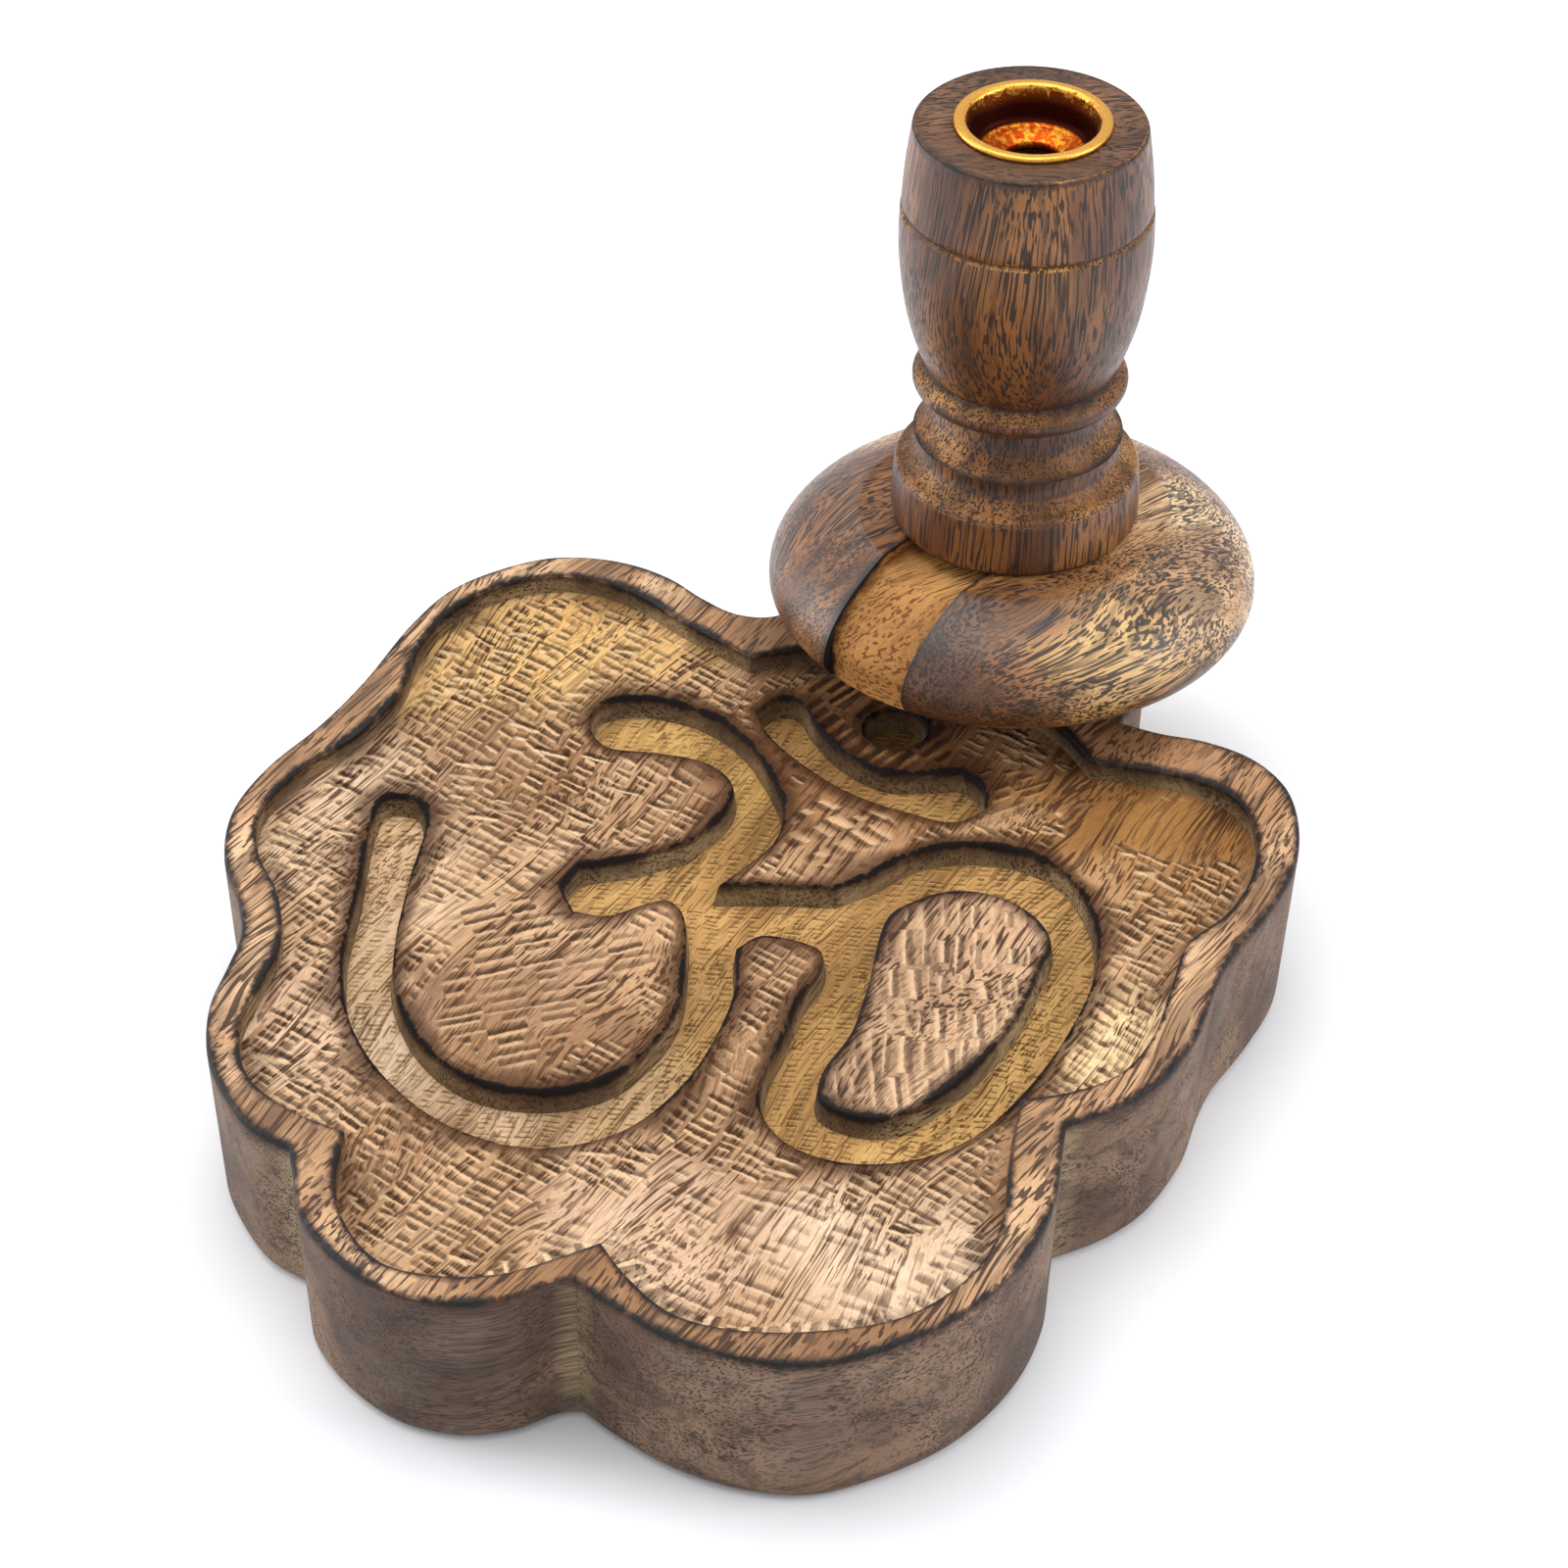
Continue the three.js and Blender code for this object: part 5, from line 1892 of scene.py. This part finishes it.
class Screw:
    """A foot screw with a cross recess and a ribbed shank."""

    def __init__(self, sizes: ScrewSizes, offset: Point) -> None:
        """Keeps the sizes, and the plan place of the screw's axis from the stem's."""
        self.sizes = sizes
        self.offset = offset

    def section(self) -> np.ndarray:
        """The half section: head, shank, thread ribs and point."""
        s = self.sizes
        root = s.radius - s.thread_depth
        neck = s.sink + s.head_height
        rows = [(0, s.sink), (s.head_radius - s.head_round, s.sink),
                (s.head_radius, s.sink + s.head_round), (s.radius, neck), (s.radius, s.thread_start)]
        ribs = int((s.tip - s.ribless - s.thread_start) / s.thread_pitch)
        for i in range(ribs):
            base = s.thread_start + i * s.thread_pitch
            rows += [(root, base + s.rib_foot), (root, base + s.thread_pitch * s.rib_share),
                     (s.radius, base + s.thread_pitch)]
        rows += [(root, s.tip - s.point), (0, s.tip)]
        return np.array(rows, float)

    def recess(self, turn: float) -> bpy.types.Object:
        """One bar of the cross recess."""
        s = self.sizes
        x, y = (AXIS + np.array(self.offset)) * MM
        bpy.ops.object.select_all(action="DESELECT")
        bpy.ops.mesh.primitive_cube_add(size=MM)
        bar = bpy.context.object
        with editing(bar):
            bpy.ops.mesh.select_all(action="SELECT")
            bpy.ops.transform.resize(value=(s.recess_length, s.recess_width, 2 * s.recess_depth))
            bpy.ops.transform.rotate(value=turn, orient_axis="Z", center_override=(0, 0, 0))
            bpy.ops.transform.translate(value=(x, y, s.sink * MM))
        return bar

    def build(self, name: str, shop: Workshop) -> bpy.types.Object:
        """Models and dresses the screw."""
        screw = turned(name, self.section(), self.sizes.steps, self.offset)
        for turn in self.sizes.recess_turns:
            carve(screw, self.recess(math.radians(turn)))
        close_up(screw)
        screw.data.materials.append(shop.steel(f"{name}_steel"))
        soften_shading(screw)
        return screw


# ---- the stage ----


@dataclass(frozen=True)
class Softbox:
    """One soft light: where it hangs, what it faces, its size and its power."""

    name: str
    place: tuple[float, float, float]
    target: tuple[float, float, float]
    size: float
    power: float
    tint: tuple[float, float, float] = (1.0, 1.0, 1.0)


@dataclass(frozen=True)
class Studio:
    """A plain pale floor, soft lights and the camera."""

    floor_size: float = 6.0
    floor_colour: str = "f6f6f8"
    floor_roughness: float = 0.9
    sky: tuple[float, float, float, float] = (0.93, 0.96, 1.0, 1.0)
    sky_strength: float = 0.76
    lens: float = 115.56
    sensor: float = 36
    near: float = 0.01
    camera_place: tuple[float, float, float] = (235.93, -449.58, 423.60)
    azimuth: float = 27.3
    pitch: float = 37.467
    roll: float = 0.0106345
    softboxes: tuple[Softbox, ...] = (
        Softbox("overhead", (-0.15, 0.08, 0.85), (0.0, 0.0, 0.0), 0.8, 4.8),
        Softbox("left", (-0.8, -0.15, 0.32), (0.0, 0.0, 0.06), 0.5, 3.4),
        Softbox("right", (0.75, 0.25, 0.45), (0.0, 0.0, 0.05), 0.5, 3.2),
    )

    def lay_floor(self) -> None:
        """The floor that the object stands on."""
        bpy.ops.object.select_all(action="DESELECT")
        bpy.ops.mesh.primitive_plane_add(size=self.floor_size)
        floor = bpy.context.object
        floor.name = "floor"
        material = bpy.data.materials.new("floor_paper")
        material.use_nodes = True
        shader = material.node_tree.nodes["Principled BSDF"]
        shader.inputs["Base Color"].default_value = colour(self.floor_colour)
        shader.inputs["Roughness"].default_value = self.floor_roughness
        floor.data.materials.append(material)

    def light(self) -> None:
        """The sky and the softboxes."""
        world = bpy.data.worlds.new("studio")
        bpy.context.scene.world = world
        world.use_nodes = True
        background = world.node_tree.nodes["Background"]
        background.inputs["Color"].default_value = self.sky
        background.inputs["Strength"].default_value = self.sky_strength
        for box in self.softboxes:
            bpy.ops.object.light_add(type="AREA", location=box.place)
            lamp = bpy.context.object
            lamp.name = box.name
            lamp.data.size = box.size
            lamp.data.energy = box.power
            lamp.data.color = box.tint
            ray = Vector(box.target) - Vector(box.place)
            lamp.rotation_euler = ray.to_track_quat("-Z", "Y").to_euler()

    def aim_camera(self) -> None:
        """The camera, looking down on the object from its front right."""
        bpy.ops.object.camera_add()
        camera = bpy.context.object
        camera.data.lens = self.lens
        camera.data.sensor_width = self.sensor
        camera.data.clip_start = self.near
        turn = Matrix.Rotation(math.radians(self.azimuth), 4, "Z")
        tilt = Matrix.Rotation(math.radians(90 - self.pitch), 4, "X")
        roll = Matrix.Rotation(self.roll, 4, "Z")
        place = Matrix.Translation(Vector(self.camera_place) * MM)
        camera.matrix_world = place @ turn @ tilt @ roll
        bpy.context.scene.camera = camera

    def build(self) -> None:
        """Sets the whole stage, with colours shown as they are."""
        bpy.context.scene.view_settings.view_transform = "Standard"
        self.lay_floor()
        self.light()
        self.aim_camera()


# ---- the whole burner ----


def top_of(node: str) -> float:
    """A CAD node's highest point, in millimetres."""
    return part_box(node)[1].z / MM


def foot_of(node: str) -> float:
    """A CAD node's lowest point, in millimetres."""
    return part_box(node)[0].z / MM


def build_burner() -> None:
    """Builds every piece and lets it stand for its CAD node."""
    shop = Workshop()
    lean = Lean(middle=(-7.3, -68.3), base_share=0.98, top=top_of("tray"))
    tray = Tray(TraySizes(top=top_of("tray"), lean=lean))
    settle(tray.build(shop), "tray", "burner")
    bun = Bun(BunSizes(foot=foot_of("bun"), seat=top_of("bun")))
    settle(bun.build(shop), "bun", "burner")
    stem = Stem(StemSizes(foot=foot_of("stem"), top=top_of("stem")))
    settle(stem.build(shop), "stem", "burner")
    settle(Cup(CupSizes(top=top_of("brass_cup"))).build(shop), "brass_cup", "cup")
    for side, offset in zip(("left", "right"), TraySizes.screw_places):
        screw = Screw(ScrewSizes(), offset).build(f"wood_screw_{side}", shop)
        settle(screw, f"foot_screw_{side}", "burner")


def main() -> None:
    """Builds the burner and its stage."""
    logging.basicConfig(level=logging.INFO, format="%(message)s")
    build_burner()
    Studio().build()


if __name__ == "__main__":
    main()
